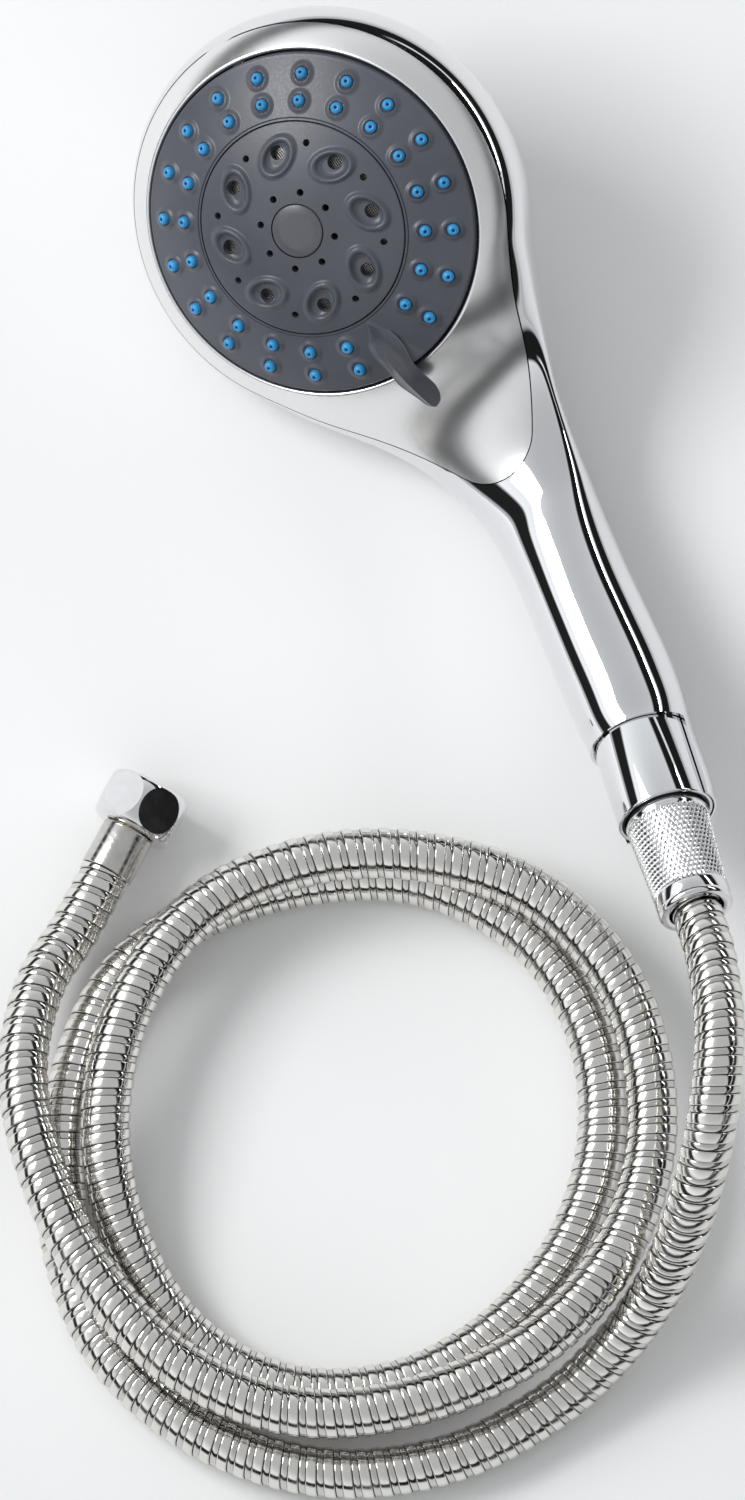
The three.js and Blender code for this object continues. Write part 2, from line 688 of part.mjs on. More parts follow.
function inletSeal() {
  const bore = tubeRadius + gap;
  return ring(bore, bore + sealWall, gap, gap + sealWidth)
    .rotateX(Math.PI / 2)
    .translate(0, -socketEnd, socketZ);
}

function inletSpigot() {
  const socketBottom = spigotStart + spigotSocketDepth;
  return turned([
    [tubeRadius + gap, spigotStart], [spigotRadius, spigotStart], [spigotRadius, spigotEnd - 1],
    [spigotRadius - 0.8, spigotEnd], [limiterRadius + gap, spigotEnd], [limiterRadius + gap, spigotEnd - 8],
    [spigotBore, spigotEnd - 8], [spigotBore, socketBottom], [tubeRadius + gap, socketBottom]]);
}

const flowLimiter = () => ring(2, limiterRadius, spigotEnd - 7.6, spigotEnd - 7.6 + limiterLength, 20);

const collarSeal = () =>
  ring(spigotRadius + gap, collarRimBore - gap, -collarRimDepth + gap, nutStart - gap, 24);

const nearFlangeStart = spigotEnd + 2 * gap + washerWall;
const nearNeckEnd = nearFlangeStart + flangeWall + neckLength;

function nearFitting() {
  return turned([
    [neckBore, nearFlangeStart], [flangeRadius, nearFlangeStart],
    [flangeRadius, nearFlangeStart + flangeWall], [neckRadius, nearFlangeStart + flangeWall],
    [neckRadius, nearNeckEnd], [neckBore, nearNeckEnd]], 20);
}

function conicalNut() {
  const shoulder = nearFlangeStart + flangeWall + gap;
  const mouth = hoseRadius + 0.7;
  return turned([
    [nutBore, nutStart], [nutTopRadius - 0.4, nutStart], [nutTopRadius, nutStart + 0.4],
    [nutTopRadius, nutStart + nutBand], [nutBottomRadius, nutEnd - nutBand],
    [nutBottomRadius + 0.1, nutEnd - nutLip],
    [nutBottomRadius - nutLip + 0.1, nutEnd], [mouth, nutEnd], [mouth, shoulder], [nutBore, shoulder]], 30);
}

// ---------- The hose's far end, drawn along +z from the hose's end face ----------
const hexStart = ferruleLength + 2 * gap;
const hexEnd = hexStart + hexLength;
const farFlangeStart = hexStart + hexBackWall + gap;
const farWasherStart = farFlangeStart + flangeWall + gap;

const farFerrule = () => ring(neckRadius + gap, ferruleRadius, gap, ferruleLength + gap, 20);

function farInsert() {
  return turned([
    [neckBore, 1], [neckRadius, 1], [neckRadius, farFlangeStart], [flangeRadius, farFlangeStart],
    [flangeRadius, farFlangeStart + flangeWall], [neckBore, farFlangeStart + flangeWall]], 20);
}

const farWasher = () => ring(washerBore, flangeRadius, farWasherStart, farWasherStart + washerWall, 20);

function hexNut() {
  const corner = hexFlats / 2 / Math.cos(Math.PI / 6);
  const blank = rod(corner, hexStart, hexEnd, 6);
  const mouthRadius = nutBore + hexMouthRing;
  const chamfered = turned([
    [0, hexStart], [hexFlats / 2 - 0.6, hexStart], [corner, hexStart + hexChamfer * 1.6],
    [corner + 0.1, hexEnd - hexChamfer * 1.6], [mouthRadius, hexEnd], [0, hexEnd]], 30);
  const shoulder = hexStart + hexBackWall;
  const bore = turned([
    [0, hexStart - 1], [neckRadius + gap, hexStart - 1], [neckRadius + gap, shoulder],
    [nutBore, shoulder], [nutBore, hexEnd + 1], [0, hexEnd + 1]], 30);
  return solid(blank).intersect(solid(chamfered)).subtract(solid(bore));
}

// ---------- Assembly ----------
const root = new THREE.Group();
const handset = new THREE.Group();
handset.rotation.set(rad(layPitch), -rad(layRoll), 0);
root.add(handset);

const outer = bodyForm(0);
const skin = outer.subtract(bodyForm(shellWall));
handset.add(piece("rear_shell", geometryOf(rearShell(outer, skin)), "chrome"));
handset.add(piece("front_cover", geometryOf(frontCover(skin)), "satinChrome"));
handset.add(connection);
connection.add(piece("end_collar", geometryOf(endCollar()), "chrome"));
connection.add(piece("collar_seal", collarSeal(), "blackRubber"));
handset.add(piece("spray_ring", geometryOf(sprayRing()), "greyPlastic"));
handset.add(piece("spray_centre", geometryOf(sprayCentre()), "greyPlastic"));
handset.add(piece("centre_cap", centreCap(), "greyPlastic"));
handset.add(piece("nozzle_mat", geometryOf(nozzleMat()), "blueSilicone"));
handset.add(piece("mesh_screen", meshScreen(), "steel"));
handset.add(piece("pivot_screw", pivotScrew(), "steel"));
handset.add(piece("spray_rotor", geometryOf(sprayRotor()), "whitePlastic"));
handset.add(piece("face_seal", faceSeal(), "blackRubber"));
handset.add(piece("valve_plate", geometryOf(valvePlate()), "whitePlastic"));
handset.add(piece("port_gasket", ring(portRadius, portRadius + 1.6, valveTop + gap, rotorBottom - gap, 16)
  .translate(0, rotorPortRing, 0), "blackRubber"));
handset.add(piece("pivot_post", pivotPost(), "brass"));
handset.add(piece("engine_housing", geometryOf(engineHousing()), "whitePlastic"));
handset.add(piece("inlet_seal", inletSeal(), "blackRubber"));
handset.add(piece("detent_pin", detentPin(), "steel"));
handset.add(piece("detent_spring", detentSpring(), "steel"));
screwPlaces().forEach((place, i) => {
  handset.add(piece(`housing_screw_${i + 1}`, housingScrew(place), "steel"));
});
handset.add(piece("waterway_tube", geometryOf(waterwayTube()), "whitePlastic"));
connection.add(piece("inlet_spigot", inletSpigot(), "brass"));
connection.add(piece("flow_limiter", flowLimiter(), "whitePlastic"));

// Stand the handset on z = 0 with the middle of its box over the origin.
root.updateMatrixWorld(true);
const box = new THREE.Box3();
handset.traverse((object) => {
  if (object.isMesh) box.expandByObject(object, true);
});
handset.position.set(-(box.min.x + box.max.x) / 2, -(box.min.y + box.max.y) / 2, -box.min.z);
root.updateMatrixWorld(true);

connection.add(piece("near_washer",
  ring(washerBore, flangeRadius, spigotEnd + gap, spigotEnd + gap + washerWall, 20), "blackRubber"));
connection.add(piece("near_fitting", nearFitting(), "brass"));
connection.add(piece("conical_nut", conicalNut(), "chrome"));

// The hose starts inside the nut, leaves it straight and then follows its route.
const alongExit = [nearNeckEnd + gap, nutEnd, nutEnd + straight, nutEnd + 2 * straight].map((e) =>
  new THREE.Vector3(0, 0, e).applyMatrix4(connection.matrixWorld));
const hoseCurve = new THREE.CatmullRomCurve3(
  [...alongExit, ...hoseRoute.map((point) => new THREE.Vector3(...point))], false, "centripetal");
root.add(piece("hose", along(hoseCurve, hoseRadius, hoseSides, hoseSteps), "steel"));

// The far end lies level, just high enough for the nut's lowest corner.
const farEnd = new THREE.Group();
farEnd.up.set(0, 0, 1);
farEnd.lookAt(Math.cos(rad(farEndTurn)), Math.sin(rad(farEndTurn)), 0);
farEnd.position.set(...hoseRoute.at(-1));
root.add(farEnd);
farEnd.add(piece("far_ferrule", farFerrule(), "steel"));
farEnd.add(piece("far_insert", farInsert(), "brass"));
farEnd.add(piece("far_washer", farWasher(), "blackRubber"));
farEnd.add(piece("hex_nut", geometryOf(hexNut()), "chrome"));

export default root;
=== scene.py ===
# %% [markdown]
# # A hand shower on its metal hose
#
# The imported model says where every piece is, how big it is and how it moves. This lesson gives
# each piece its finished look. The handset and its hose ends are each shaped in a frame of their own, in
# millimetres, and placed in the model by one matrix at the very end, so all measurements read like a drawing.

# %% Start from the fixed frame
import json
import math
import bmesh
import bpy
import numpy as np
from mathutils import Matrix, Vector
from mathutils.bvhtree import BVHTree


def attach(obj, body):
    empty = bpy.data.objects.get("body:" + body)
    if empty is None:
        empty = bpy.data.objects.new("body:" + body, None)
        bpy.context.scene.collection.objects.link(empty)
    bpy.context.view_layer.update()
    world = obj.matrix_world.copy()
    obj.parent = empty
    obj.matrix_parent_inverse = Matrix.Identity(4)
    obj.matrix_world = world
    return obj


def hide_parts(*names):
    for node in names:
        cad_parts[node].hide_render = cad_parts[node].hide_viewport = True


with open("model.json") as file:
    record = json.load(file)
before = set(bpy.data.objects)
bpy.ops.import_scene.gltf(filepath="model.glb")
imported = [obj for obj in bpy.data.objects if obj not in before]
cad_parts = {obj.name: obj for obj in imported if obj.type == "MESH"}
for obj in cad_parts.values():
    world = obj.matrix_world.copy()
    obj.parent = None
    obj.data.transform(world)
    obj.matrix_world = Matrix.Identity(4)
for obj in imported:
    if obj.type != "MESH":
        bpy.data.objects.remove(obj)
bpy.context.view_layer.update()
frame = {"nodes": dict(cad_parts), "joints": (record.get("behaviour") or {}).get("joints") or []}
nodes = frame["nodes"]
joints = {joint["name"]: joint for joint in frame["joints"]}
print("pieces in the frame:", len(nodes))

# %% [markdown]
# Three frames are enough. The handset's frame has its origin in the middle of the spray face, +Z where the
# water leaves and the handle along -Y. The connection's frame runs out along the end of the handle, and the
# far end's frame runs out along the fitting at the other end of the hose. The joints hold their origins.

# %% Frames of the handset and of both hose ends
MILLIMETRE = Matrix.Scale(0.001, 4)
LAY_PITCH = math.radians(10)
LAY_ROLL = math.radians(-31.6)
RIM_PLACE = (0, -188.9, 18.8)
END_TILT = math.radians(33)


def frame_along(origin, direction, up=(0, 0, 1)):
    forward = Vector(direction).normalized()
    side = Vector(up).cross(forward).normalized()
    turn = Matrix((side, forward.cross(side), forward)).transposed().to_4x4()
    return Matrix.Translation(origin) @ turn


selector = joints["selector_turn"]
HANDSET = (Matrix.Translation(selector["pos_m"]) @ Matrix.Rotation(LAY_PITCH, 4, "X")
           @ Matrix.Rotation(LAY_ROLL, 4, "Y") @ MILLIMETRE)
CONNECTION = HANDSET @ Matrix.Translation(RIM_PLACE) @ Matrix.Rotation(math.pi / 2 - END_TILT, 4, "X")
far_joint = joints["hex_nut_turn"]
FAR_JOINT_AT = 20.6  # how far along the fitting the nut's joint is stated
far_direction = Vector(far_joint["axis"])
far_origin = Vector(far_joint["pos_m"]) - far_direction * FAR_JOINT_AT * 0.001
FAR_END = frame_along(far_origin, far_direction) @ MILLIMETRE
print("face normal:", [round(v, 3) for v in selector["axis"]])

# %% [markdown]
# The camera looks down steeply along the handset, from far away through a long lens, so that the picture is
# almost without perspective. It comes first, because the hose has to stay inside its view.

# %% Camera
FRAME_HEIGHT = 0.4098  # of the object plane, in metres
CAMERA_DISTANCE = 8.0
CAMERA_ELEVATION = math.radians(78)
CAMERA_HEADING = math.radians(-33.67)
FACE_IN_FRAME = (-0.01642, 0.1443)  # the face's middle, right of and above the picture's middle, in metres

heading = Vector((-math.sin(CAMERA_HEADING), math.cos(CAMERA_HEADING), 0))
right = Vector((heading.y, -heading.x, 0))
look = heading * math.cos(CAMERA_ELEVATION) - Vector((0, 0, math.sin(CAMERA_ELEVATION)))
picture_up = right.cross(look)
target = Vector(selector["pos_m"]) - right * FACE_IN_FRAME[0] - picture_up * FACE_IN_FRAME[1]
camera_data = bpy.data.cameras.new("camera")
camera = bpy.data.objects.new("camera", camera_data)
bpy.context.scene.collection.objects.link(camera)
camera.location = target - look * CAMERA_DISTANCE
camera.rotation_mode = "QUATERNION"
camera.rotation_quaternion = Matrix((right, picture_up, -look)).transposed().to_quaternion()
camera_data.lens = camera_data.sensor_width * CAMERA_DISTANCE / FRAME_HEIGHT
camera_data.clip_start = 0.1
camera_data.clip_end = 60
bpy.context.scene.camera = camera
print("lens:", round(camera_data.lens), "mm")

# %% [markdown]
# Chrome shows its surroundings more than itself. A studio lights it with a big white tent above and lets a
# dark room show between the tent and the table, which draws the dark streaks along a handle. Here the sky
# does that: white overhead, a dark band low down with one pale strip in it, and the pale table below. The
# camera itself sees only a plain pale backdrop.

# %% Node helpers
def join(tree, source, target):
    tree.links.new(source, target)


def node(tree, kind, given=(), **settings):
    """A new node. given maps an input's name or number to a socket to join, or to a plain value."""
    made = tree.nodes.new(kind)
    for name, value in settings.items():
        setattr(made, name, value)
    for name, value in dict(given).items():
        if isinstance(value, bpy.types.NodeSocket):
            join(tree, value, made.inputs[name])
        else:
            made.inputs[name].default_value = value
    return made


def maths(tree, operation, *values):
    return node(tree, "ShaderNodeMath", enumerate(values), operation=operation).outputs[0]


def smooth_band(tree, value, low, high, bottom=0.0, top=1.0):
    limits = enumerate((value, low, high, bottom, top))
    return node(tree, "ShaderNodeMapRange", limits, interpolation_type="SMOOTHSTEP").outputs[0]


# %% Studio sky, table and lamps
SKY_BRIGHT = 0.95
OVERHEAD = 0.60  # of the tent's brightness
LIT_SIDE = math.radians(150)
SKY_DARK = 0.015
DARK_TOP = 0.34  # how high the dark gap reaches, as the sine of its elevation
DARK_RISE = 0.34  # and how much higher on the dark side
DARK_SIDE = math.radians(-15)
GAP_EDGE = 0.06  # how softly the dark gap ends
BAR_HEIGHT = 0.36
BAR_INNER, BAR_OUTER = 0.02, 0.035  # half heights of the pale strip's core and of its soft edge
TABLE_RADIUS = 30  # metres, so that no edge shows in a reflection
BACKDROP = (0.93, 0.935, 0.94, 1)
world = bpy.data.worlds.new("studio_sky")
bpy.context.scene.world = world
bpy.context.scene.view_settings.view_transform = "Standard"
world.use_nodes = True
sky = world.node_tree
sky.nodes.clear()
direction = node(sky, "ShaderNodeTexCoord").outputs["Generated"]
split = node(sky, "ShaderNodeSeparateXYZ", {0: direction})
height = split.outputs[2]
turn = maths(sky, "ARCTAN2", split.outputs[1], split.outputs[0])
# The dark gap reaches highest on the right of the handle, and there a pale wall strip stands in it.
aside = maths(sky, "COSINE", maths(sky, "SUBTRACT", turn, DARK_SIDE))
aside = maths(sky, "POWER", maths(sky, "MAXIMUM", aside, 0.0), 1.5)
top_of_gap = maths(sky, "MULTIPLY_ADD", aside, DARK_RISE, DARK_TOP)
over_gap = maths(sky, "SUBTRACT", height, top_of_gap)
tent = smooth_band(sky, over_gap, 0.0, GAP_EDGE, SKY_DARK, SKY_BRIGHT)
# The tent is brightest low down on the lit side and falls off overhead and towards the dark side.
lit_side = maths(sky, "COSINE", maths(sky, "SUBTRACT", turn, LIT_SIDE))
fall = maths(sky, "MULTIPLY", lit_side, smooth_band(sky, height, 0.5, 1.0, 0.20, 0.0))
overhead = smooth_band(sky, height, 0.35, 0.95, 1.0, OVERHEAD)
tent = maths(sky, "MULTIPLY", tent, maths(sky, "ADD", overhead, fall))
low_glow = smooth_band(sky, height, 0.02, 0.09, 0.6, 0.0)
bar_away = maths(sky, "ABSOLUTE", maths(sky, "SUBTRACT", height, BAR_HEIGHT))
bar = maths(sky, "MULTIPLY", smooth_band(sky, bar_away, BAR_INNER, BAR_OUTER, 0.9, 0.0),
            smooth_band(sky, aside, 0.25, 0.45))
light = maths(sky, "MAXIMUM", maths(sky, "MAXIMUM", tent, low_glow), bar)
studio = node(sky, "ShaderNodeBackground", {"Strength": light, "Color": (0.97, 0.985, 1.0, 1)})
plain = node(sky, "ShaderNodeBackground", {"Color": BACKDROP})
seen = node(sky, "ShaderNodeLightPath").outputs["Is Camera Ray"]
choose = node(sky, "ShaderNodeMixShader", {0: seen, 1: studio.outputs[0], 2: plain.outputs[0]})
node(sky, "ShaderNodeOutputWorld", {0: choose.outputs[0]})

bpy.ops.mesh.primitive_circle_add(vertices=96, radius=TABLE_RADIUS, fill_type="NGON",
                                  location=(-0.06, -0.05, 0))
table = bpy.context.object
table.name = "table_top"
table_finish = bpy.data.materials.new("pale_table")
table_finish.use_nodes = True
table_shader = table_finish.node_tree.nodes["Principled BSDF"]
table_shader.inputs["Base Color"].default_value = (0.93, 0.93, 0.93, 1)
table_shader.inputs["Roughness"].default_value = 0.7
table.data.materials.append(table_finish)


def lamp(name, place, aim, size, power):
    data = bpy.data.lights.new(name, "AREA")
    data.shape = "RECTANGLE"
    data.size, data.size_y = size
    data.energy = power
    made = bpy.data.objects.new(name, data)
    bpy.context.scene.collection.objects.link(made)
    made.location = place
    made.rotation_mode = "QUATERNION"
    made.rotation_quaternion = (Vector(aim) - Vector(place)).to_track_quat("-Z", "Y")
    made.visible_camera = False
    return made


lamp("key_softbox", (-0.9, 1.0, 1.3), (-0.05, 0, 0), (1.0, 0.7), 20)
lamp("strip_light", (1.1, -0.1, 0.55), (-0.05, -0.02, 0.03), (0.9, 0.06), 1.5)

# %% [markdown]
# Finishes come next, each a small node tree. All of them read Object coordinates, or a value stored on the
# mesh, so the pattern stays on the piece. Real plating is never a perfect mirror: it carries a faint haze, a
# few wipe marks and, on a moulded part, a very slow waviness that bends the reflections.

# %% Finish helpers
def new_finish(name, colour, metallic, roughness, **constants):
    made = bpy.data.materials.new(name)
    made.use_nodes = True
    tree = made.node_tree
    shader = tree.nodes["Principled BSDF"]
    shader.inputs["Base Color"].default_value = (*colour, 1)
    shader.inputs["Metallic"].default_value = metallic
    shader.inputs["Roughness"].default_value = roughness
    for socket, value in constants.items():
        shader.inputs[socket.replace("_", " ")].default_value = value
    return made, tree, shader


def noise(tree, scale, detail=3.0, roughness=0.5, stretch=None):
    place = node(tree, "ShaderNodeTexCoord").outputs["Object"]
    if stretch:
        place = node(tree, "ShaderNodeMapping", {0: place, "Scale": stretch}).outputs[0]
    given = {"Vector": place, "Scale": scale, "Detail": detail, "Roughness": roughness}
    return node(tree, "ShaderNodeTexNoise", given).outputs["Fac"]


def blended(tree, factor, first, second):
    given = {0: factor, 6: (*first, 1), 7: (*second, 1)}
    return node(tree, "ShaderNodeMix", given, data_type="RGBA").outputs[2]


def set_look(tree, shader, colour=None, roughness=None):
    for socket, source in (("Base Color", colour), ("Roughness", roughness)):
        if source:
            join(tree, source, shader.inputs[socket])


def bumped(tree, shader, height, strength, distance):
    bump = node(tree, "ShaderNodeBump", {"Strength": strength, "Distance": distance, "Height": height})
    join(tree, bump.outputs[0], shader.inputs["Normal"])


# %% Plated and metal finishes
def plated(name, colour, haze, patchy, wave=0.0):
    """Chrome plate: clean metal with a soft haze, thin wipe marks and, on big pieces, a slow waviness."""
    made, tree, shader = new_finish(name, colour, 1.0, haze)
    marks = noise(tree, 38, 4, 0.6, (1.0, 0.35, 1.0))
    fine = noise(tree, 420, 2)
    haze_map = maths(tree, "ADD", smooth_band(tree, marks, 0.45, 0.75, haze, haze + patchy),
                     smooth_band(tree, fine, 0.4, 0.7, 0.0, patchy * 0.3))
    dull = tuple(c * 0.93 for c in colour)
    set_look(tree, shader, blended(tree, smooth_band(tree, marks, 0.5, 0.8), colour, dull), haze_map)
    if wave:
        bumped(tree, shader, noise(tree, 26, 1), wave, 0.001)
    return made


def turned_metal(name, colour, roughness, ring_scale=1600.0):
    """Machined metal with faint tool marks."""
    made, tree, shader = new_finish(name, colour, 1.0, roughness)
    tool = noise(tree, ring_scale, 2, 0.5, (1.0, 0.08, 0.08))
    spots = noise(tree, 90, 4)
    dull = tuple(c * 0.82 for c in colour)
    set_look(tree, shader, blended(tree, smooth_band(tree, spots, 0.4, 0.7), colour, dull),
             smooth_band(tree, tool, 0.35, 0.7, roughness * 0.8, roughness * 1.35))
    bumped(tree, shader, tool, 0.08, 0.0002)
    return made


# %% Moulded finishes
def moulded(name, colour, roughness, grain, grain_height, tint=0.86, **constants):
    """Moulded plastic or rubber: a fine eroded grain and a slight colour drift."""
    made, tree, shader = new_finish(name, colour, 0.0, roughness, **constants)
    drift = noise(tree, 45, 4, 0.6)
    texture = noise(tree, grain, 2, 0.6)
    second = tuple(c * tint for c in colour)
    set_look(tree, shader, blended(tree, smooth_band(tree, drift, 0.35, 0.7), colour, second),
             smooth_band(tree, texture, 0.3, 0.7, roughness * 0.88, min(1.0, roughness * 1.12)))
    bumped(tree, shader, texture, grain_height, 0.0003)
    return made


WIRES_PER_METRE = math.pi / 0.00055  # half a wave for each 0.55 mm of mesh


def woven():
    """Fine steel mesh: wires over and under each other; the gaps between them are painted shade, near black.
    """
    made, tree, shader = new_finish("woven_steel", (0.3, 0.3, 0.3), 0.7, 0.4)
    place = node(tree, "ShaderNodeSeparateXYZ", {0: node(tree, "ShaderNodeTexCoord").outputs["Object"]})
    phases = [maths(tree, "MULTIPLY", place.outputs[k], WIRES_PER_METRE) for k in (0, 1)]
    waves = [maths(tree, "ABSOLUTE", maths(tree, "SINE", phase)) for phase in phases]
    wires = maths(tree, "MINIMUM", *waves)
    solid_wire = smooth_band(tree, wires, 0.25, 0.5, 1.0, 0.0)
    # The gaps get a near-black colour: painted shade of the hollow behind the mesh.
    set_look(tree, shader, blended(tree, solid_wire, (0.004, 0.004, 0.004), (0.30, 0.29, 0.28)),
             smooth_band(tree, solid_wire, 0.2, 0.8, 0.9, 0.3))
    join(tree, solid_wire, shader.inputs["Metallic"])
    bumped(tree, shader, solid_wire, 0.6, 0.0002)
    return made


# %% The finishes, named for the slots that they fill
finishes = {
    "shell_chrome": plated("polished_shell_chrome", (0.80, 0.81, 0.825), 0.03, 0.03, 0.015),
    "cover_chrome": plated("cover_satin_chrome", (0.84, 0.845, 0.85), 0.25, 0.03),
    "nut_chrome": plated("polished_nut_chrome", (0.80, 0.80, 0.81), 0.06, 0.05),
    "steel": turned_metal("bright_steel", (0.62, 0.61, 0.59), 0.20),
    "brass": turned_metal("machined_brass", (0.72, 0.53, 0.26), 0.25),
    "face_grey": moulded("face_grey_moulding", (0.080, 0.085, 0.106), 0.36, 1500, 0.07, 0.85,
                         Specular_IOR_Level=0.5),
    "nozzle_blue": moulded("nozzle_blue_silicone", (0.035, 0.32, 0.66), 0.40, 1200, 0.05, 0.8,
                           Subsurface_Weight=0.15, Subsurface_Scale=0.001),
    "seal_black": moulded("seal_black_rubber", (0.012, 0.012, 0.013), 0.5, 1300, 0.10, 0.7),
    "white_plastic": moulded("engine_white_moulding", (0.72, 0.71, 0.67), 0.45, 900, 0.05),
    "steel_mesh": woven(),
    "cap_grey": moulded("cap_smooth_grey", (0.095, 0.10, 0.115), 0.27, 1500, 0.03, 0.9),
}
print("finishes:", ", ".join(finishes))

# %% [markdown]
# Every mesh is made from arrays of points in millimetres, in one of the three frames. A piece is finished by
# one helper that places it, smooths it, keeps hard edges hard, gives it its finish and ties it to its body.

# %% Piece helpers
SHARP = math.radians(32)


def mesh_of(name, points, faces):
    made = bpy.data.meshes.new(name)
    made.from_pydata([tuple(p) for p in points], [], [tuple(f) for f in faces])
    made.validate()
    made.update()
    return made


def scratch_object(name, mesh):
    made = bpy.data.objects.new(name, mesh)
    bpy.context.scene.collection.objects.link(made)
    return made


def outward(mesh):
    bm = bmesh.new()
    bm.from_mesh(mesh)
    bmesh.ops.remove_doubles(bm, verts=bm.verts, dist=1e-5)
    bmesh.ops.recalc_face_normals(bm, faces=bm.faces)
    bm.to_mesh(mesh)
    bm.free()
    return mesh


def joined_mesh(name, meshes):
    bm = bmesh.new()
    for part in meshes:
        bm.from_mesh(part)
    made = bpy.data.meshes.new(name)
    bm.to_mesh(made)
    bm.free()
    return made


def boolean(mesh, tool, operation):
    """Cut, join or intersect two closed meshes and return the first one, changed."""
    a = scratch_object("work", mesh)
    b = scratch_object("tool", tool)
    modifier = a.modifiers.new("boolean", "BOOLEAN")
    modifier.object = b
    modifier.operation = operation
    modifier.solver = "MANIFOLD"
    result = bpy.data.meshes.new_from_object(a.evaluated_get(bpy.context.evaluated_depsgraph_get()))
    bpy.data.objects.remove(a)
    bpy.data.objects.remove(b)
    return result


def finish_piece(name, mesh, place, body, finish, replaced=(), sharp=SHARP):
    mesh.transform(place)
    mesh.name = name
    mesh.materials.clear()
    mesh.materials.append(finishes[finish])
    mesh.shade_smooth()
    mesh.set_sharp_from_angle(angle=sharp)
    made = scratch_object(name, mesh)
    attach(made, body)
    if replaced:
        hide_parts(*replaced)
    return made


def ring_faces(row_count, sides):
    """Quads between rows of points, the last row joined to the first."""
    faces = []
    for i in range(row_count):
        a, b = i * sides, ((i + 1) % row_count) * sides
        faces += [(a + j, b + j, b + (j + 1) % sides, a + (j + 1) % sides) for j in range(sides)]
    return faces


def turned(outline, sides=64, closed=True):
    """A turned piece from [radius, z] points; a point on the axis becomes one vertex."""
    points, faces, rows = [], [], []
    for radius, z in outline:
        if radius < 1e-6:
            rows.append([len(points)] * sides)
            points.append((0, 0, z))
            continue
        rows.append(list(range(len(points), len(points) + sides)))
        for i in range(sides):
            angle = 2 * math.pi * i / sides
            points.append((radius * math.cos(angle), radius * math.sin(angle), z))
    pairs = list(zip(rows, rows[1:] + rows[:1])) if closed else list(zip(rows, rows[1:]))
    for a, b in pairs:
        for i in range(sides):
            j = (i + 1) % sides
            corners = list(dict.fromkeys((a[i], a[j], b[j], b[i])))
            if len(corners) > 2:
                faces.append(corners)
    return outward(mesh_of("turned", points, faces))


def rounded(outline, radius, steps=4):
    """The same closed outline with each corner eased to an arc; a corner on the axis stays."""
    points = [Vector(p) for p in outline]
    made = []
    for i, corner in enumerate(points):
        before, after = points[i - 1], points[(i + 1) % len(points)]
        reach = min(radius, 0.45 * (before - corner).length, 0.45 * (after - corner).length)
        if corner.x < 1e-6 or reach < 1e-4:
            made.append(tuple(corner))
            continue
        start = corner + (before - corner).normalized() * reach
        end = corner + (after - corner).normalized() * reach
        for step in range(steps + 1):
            t = step / steps
            made.append(tuple(start * (1 - t) ** 2 + corner * 2 * t * (1 - t) + end * t * t))
    return made


def rod_mesh(radius, bottom, top, sides=48):
    return turned([(0, bottom), (radius, bottom), (radius, top), (0, top)], sides, closed=False)


# %% [markdown]
# ## The hose
#
# A shower hose is one steel strip, folded into a lock along both edges and wound in a helix. A tube with
# painted rings would never catch the light like it, so the strip is wound for real: Geometry Nodes take the
# centreline, march along it turn by turn and lift a folded profile off it. The centreline is a list of
# given points, in metres: out of the nut, down to the table, round two and a half loops and on to
# the level of the far fitting.

# %% The hose's route
HOSE_RADIUS = 7.0
NECK_END = 22.3  # where the hose starts inside the conical nut
NUT_END = 31.0
STRAIGHT = 6.0
HOSE_ROUTE = [
    (-0.0343, -0.1655, 0.052), (-0.0395, -0.175, 0.0543), (-0.0465, -0.185, 0.0546), (-0.056, -0.196, 0.0515),
    (-0.067, -0.2065, 0.044), (-0.079, -0.2155, 0.0325), (-0.0925, -0.2225, 0.0205), (-0.109, -0.2275, 0.012),
    (-0.129, -0.2305, 0.0078), (-0.16, -0.228, 0.007), (-0.191, -0.213, 0.007), (-0.214, -0.185, 0.007),
    (-0.223, -0.152, 0.007), (-0.218, -0.124, 0.007), (-0.204, -0.099, 0.007), (-0.185, -0.079, 0.007),
    (-0.162, -0.066, 0.007), (-0.135, -0.064, 0.007), (-0.106, -0.072, 0.007), (-0.08, -0.089, 0.007),
    (-0.064, -0.117, 0.007), (-0.064, -0.148, 0.007), (-0.078, -0.176, 0.007), (-0.102, -0.196, 0.007),
    (-0.131, -0.205, 0.007), (-0.161, -0.203, 0.007), (-0.187, -0.188, 0.007), (-0.202, -0.162, 0.0075),
    (-0.203, -0.132, 0.012), (-0.191, -0.101, 0.019), (-0.166, -0.076, 0.0217), (-0.136, -0.065, 0.0217),
    (-0.107, -0.069, 0.0217), (-0.08, -0.084, 0.0215), (-0.057, -0.112, 0.02), (-0.052, -0.148, 0.019),
    (-0.067, -0.184, 0.019), (-0.094, -0.207, 0.021), (-0.126, -0.216, 0.0217), (-0.16, -0.212, 0.0217),
    (-0.191, -0.196, 0.022), (-0.211, -0.167, 0.023), (-0.2165, -0.131, 0.0225), (-0.211, -0.098, 0.022),
    (-0.2, -0.074, 0.0205), (-0.182, -0.0565, 0.0164), (-0.1687, -0.0501, 0.0133), (-0.1598, -0.0455, 0.0129),
    (-0.151, -0.0408, 0.0129),
]
exits = [CONNECTION @ Vector((0, 0, e))
         for e in (NECK_END, NUT_END, NUT_END + STRAIGHT, NUT_END + 2 * STRAIGHT)]


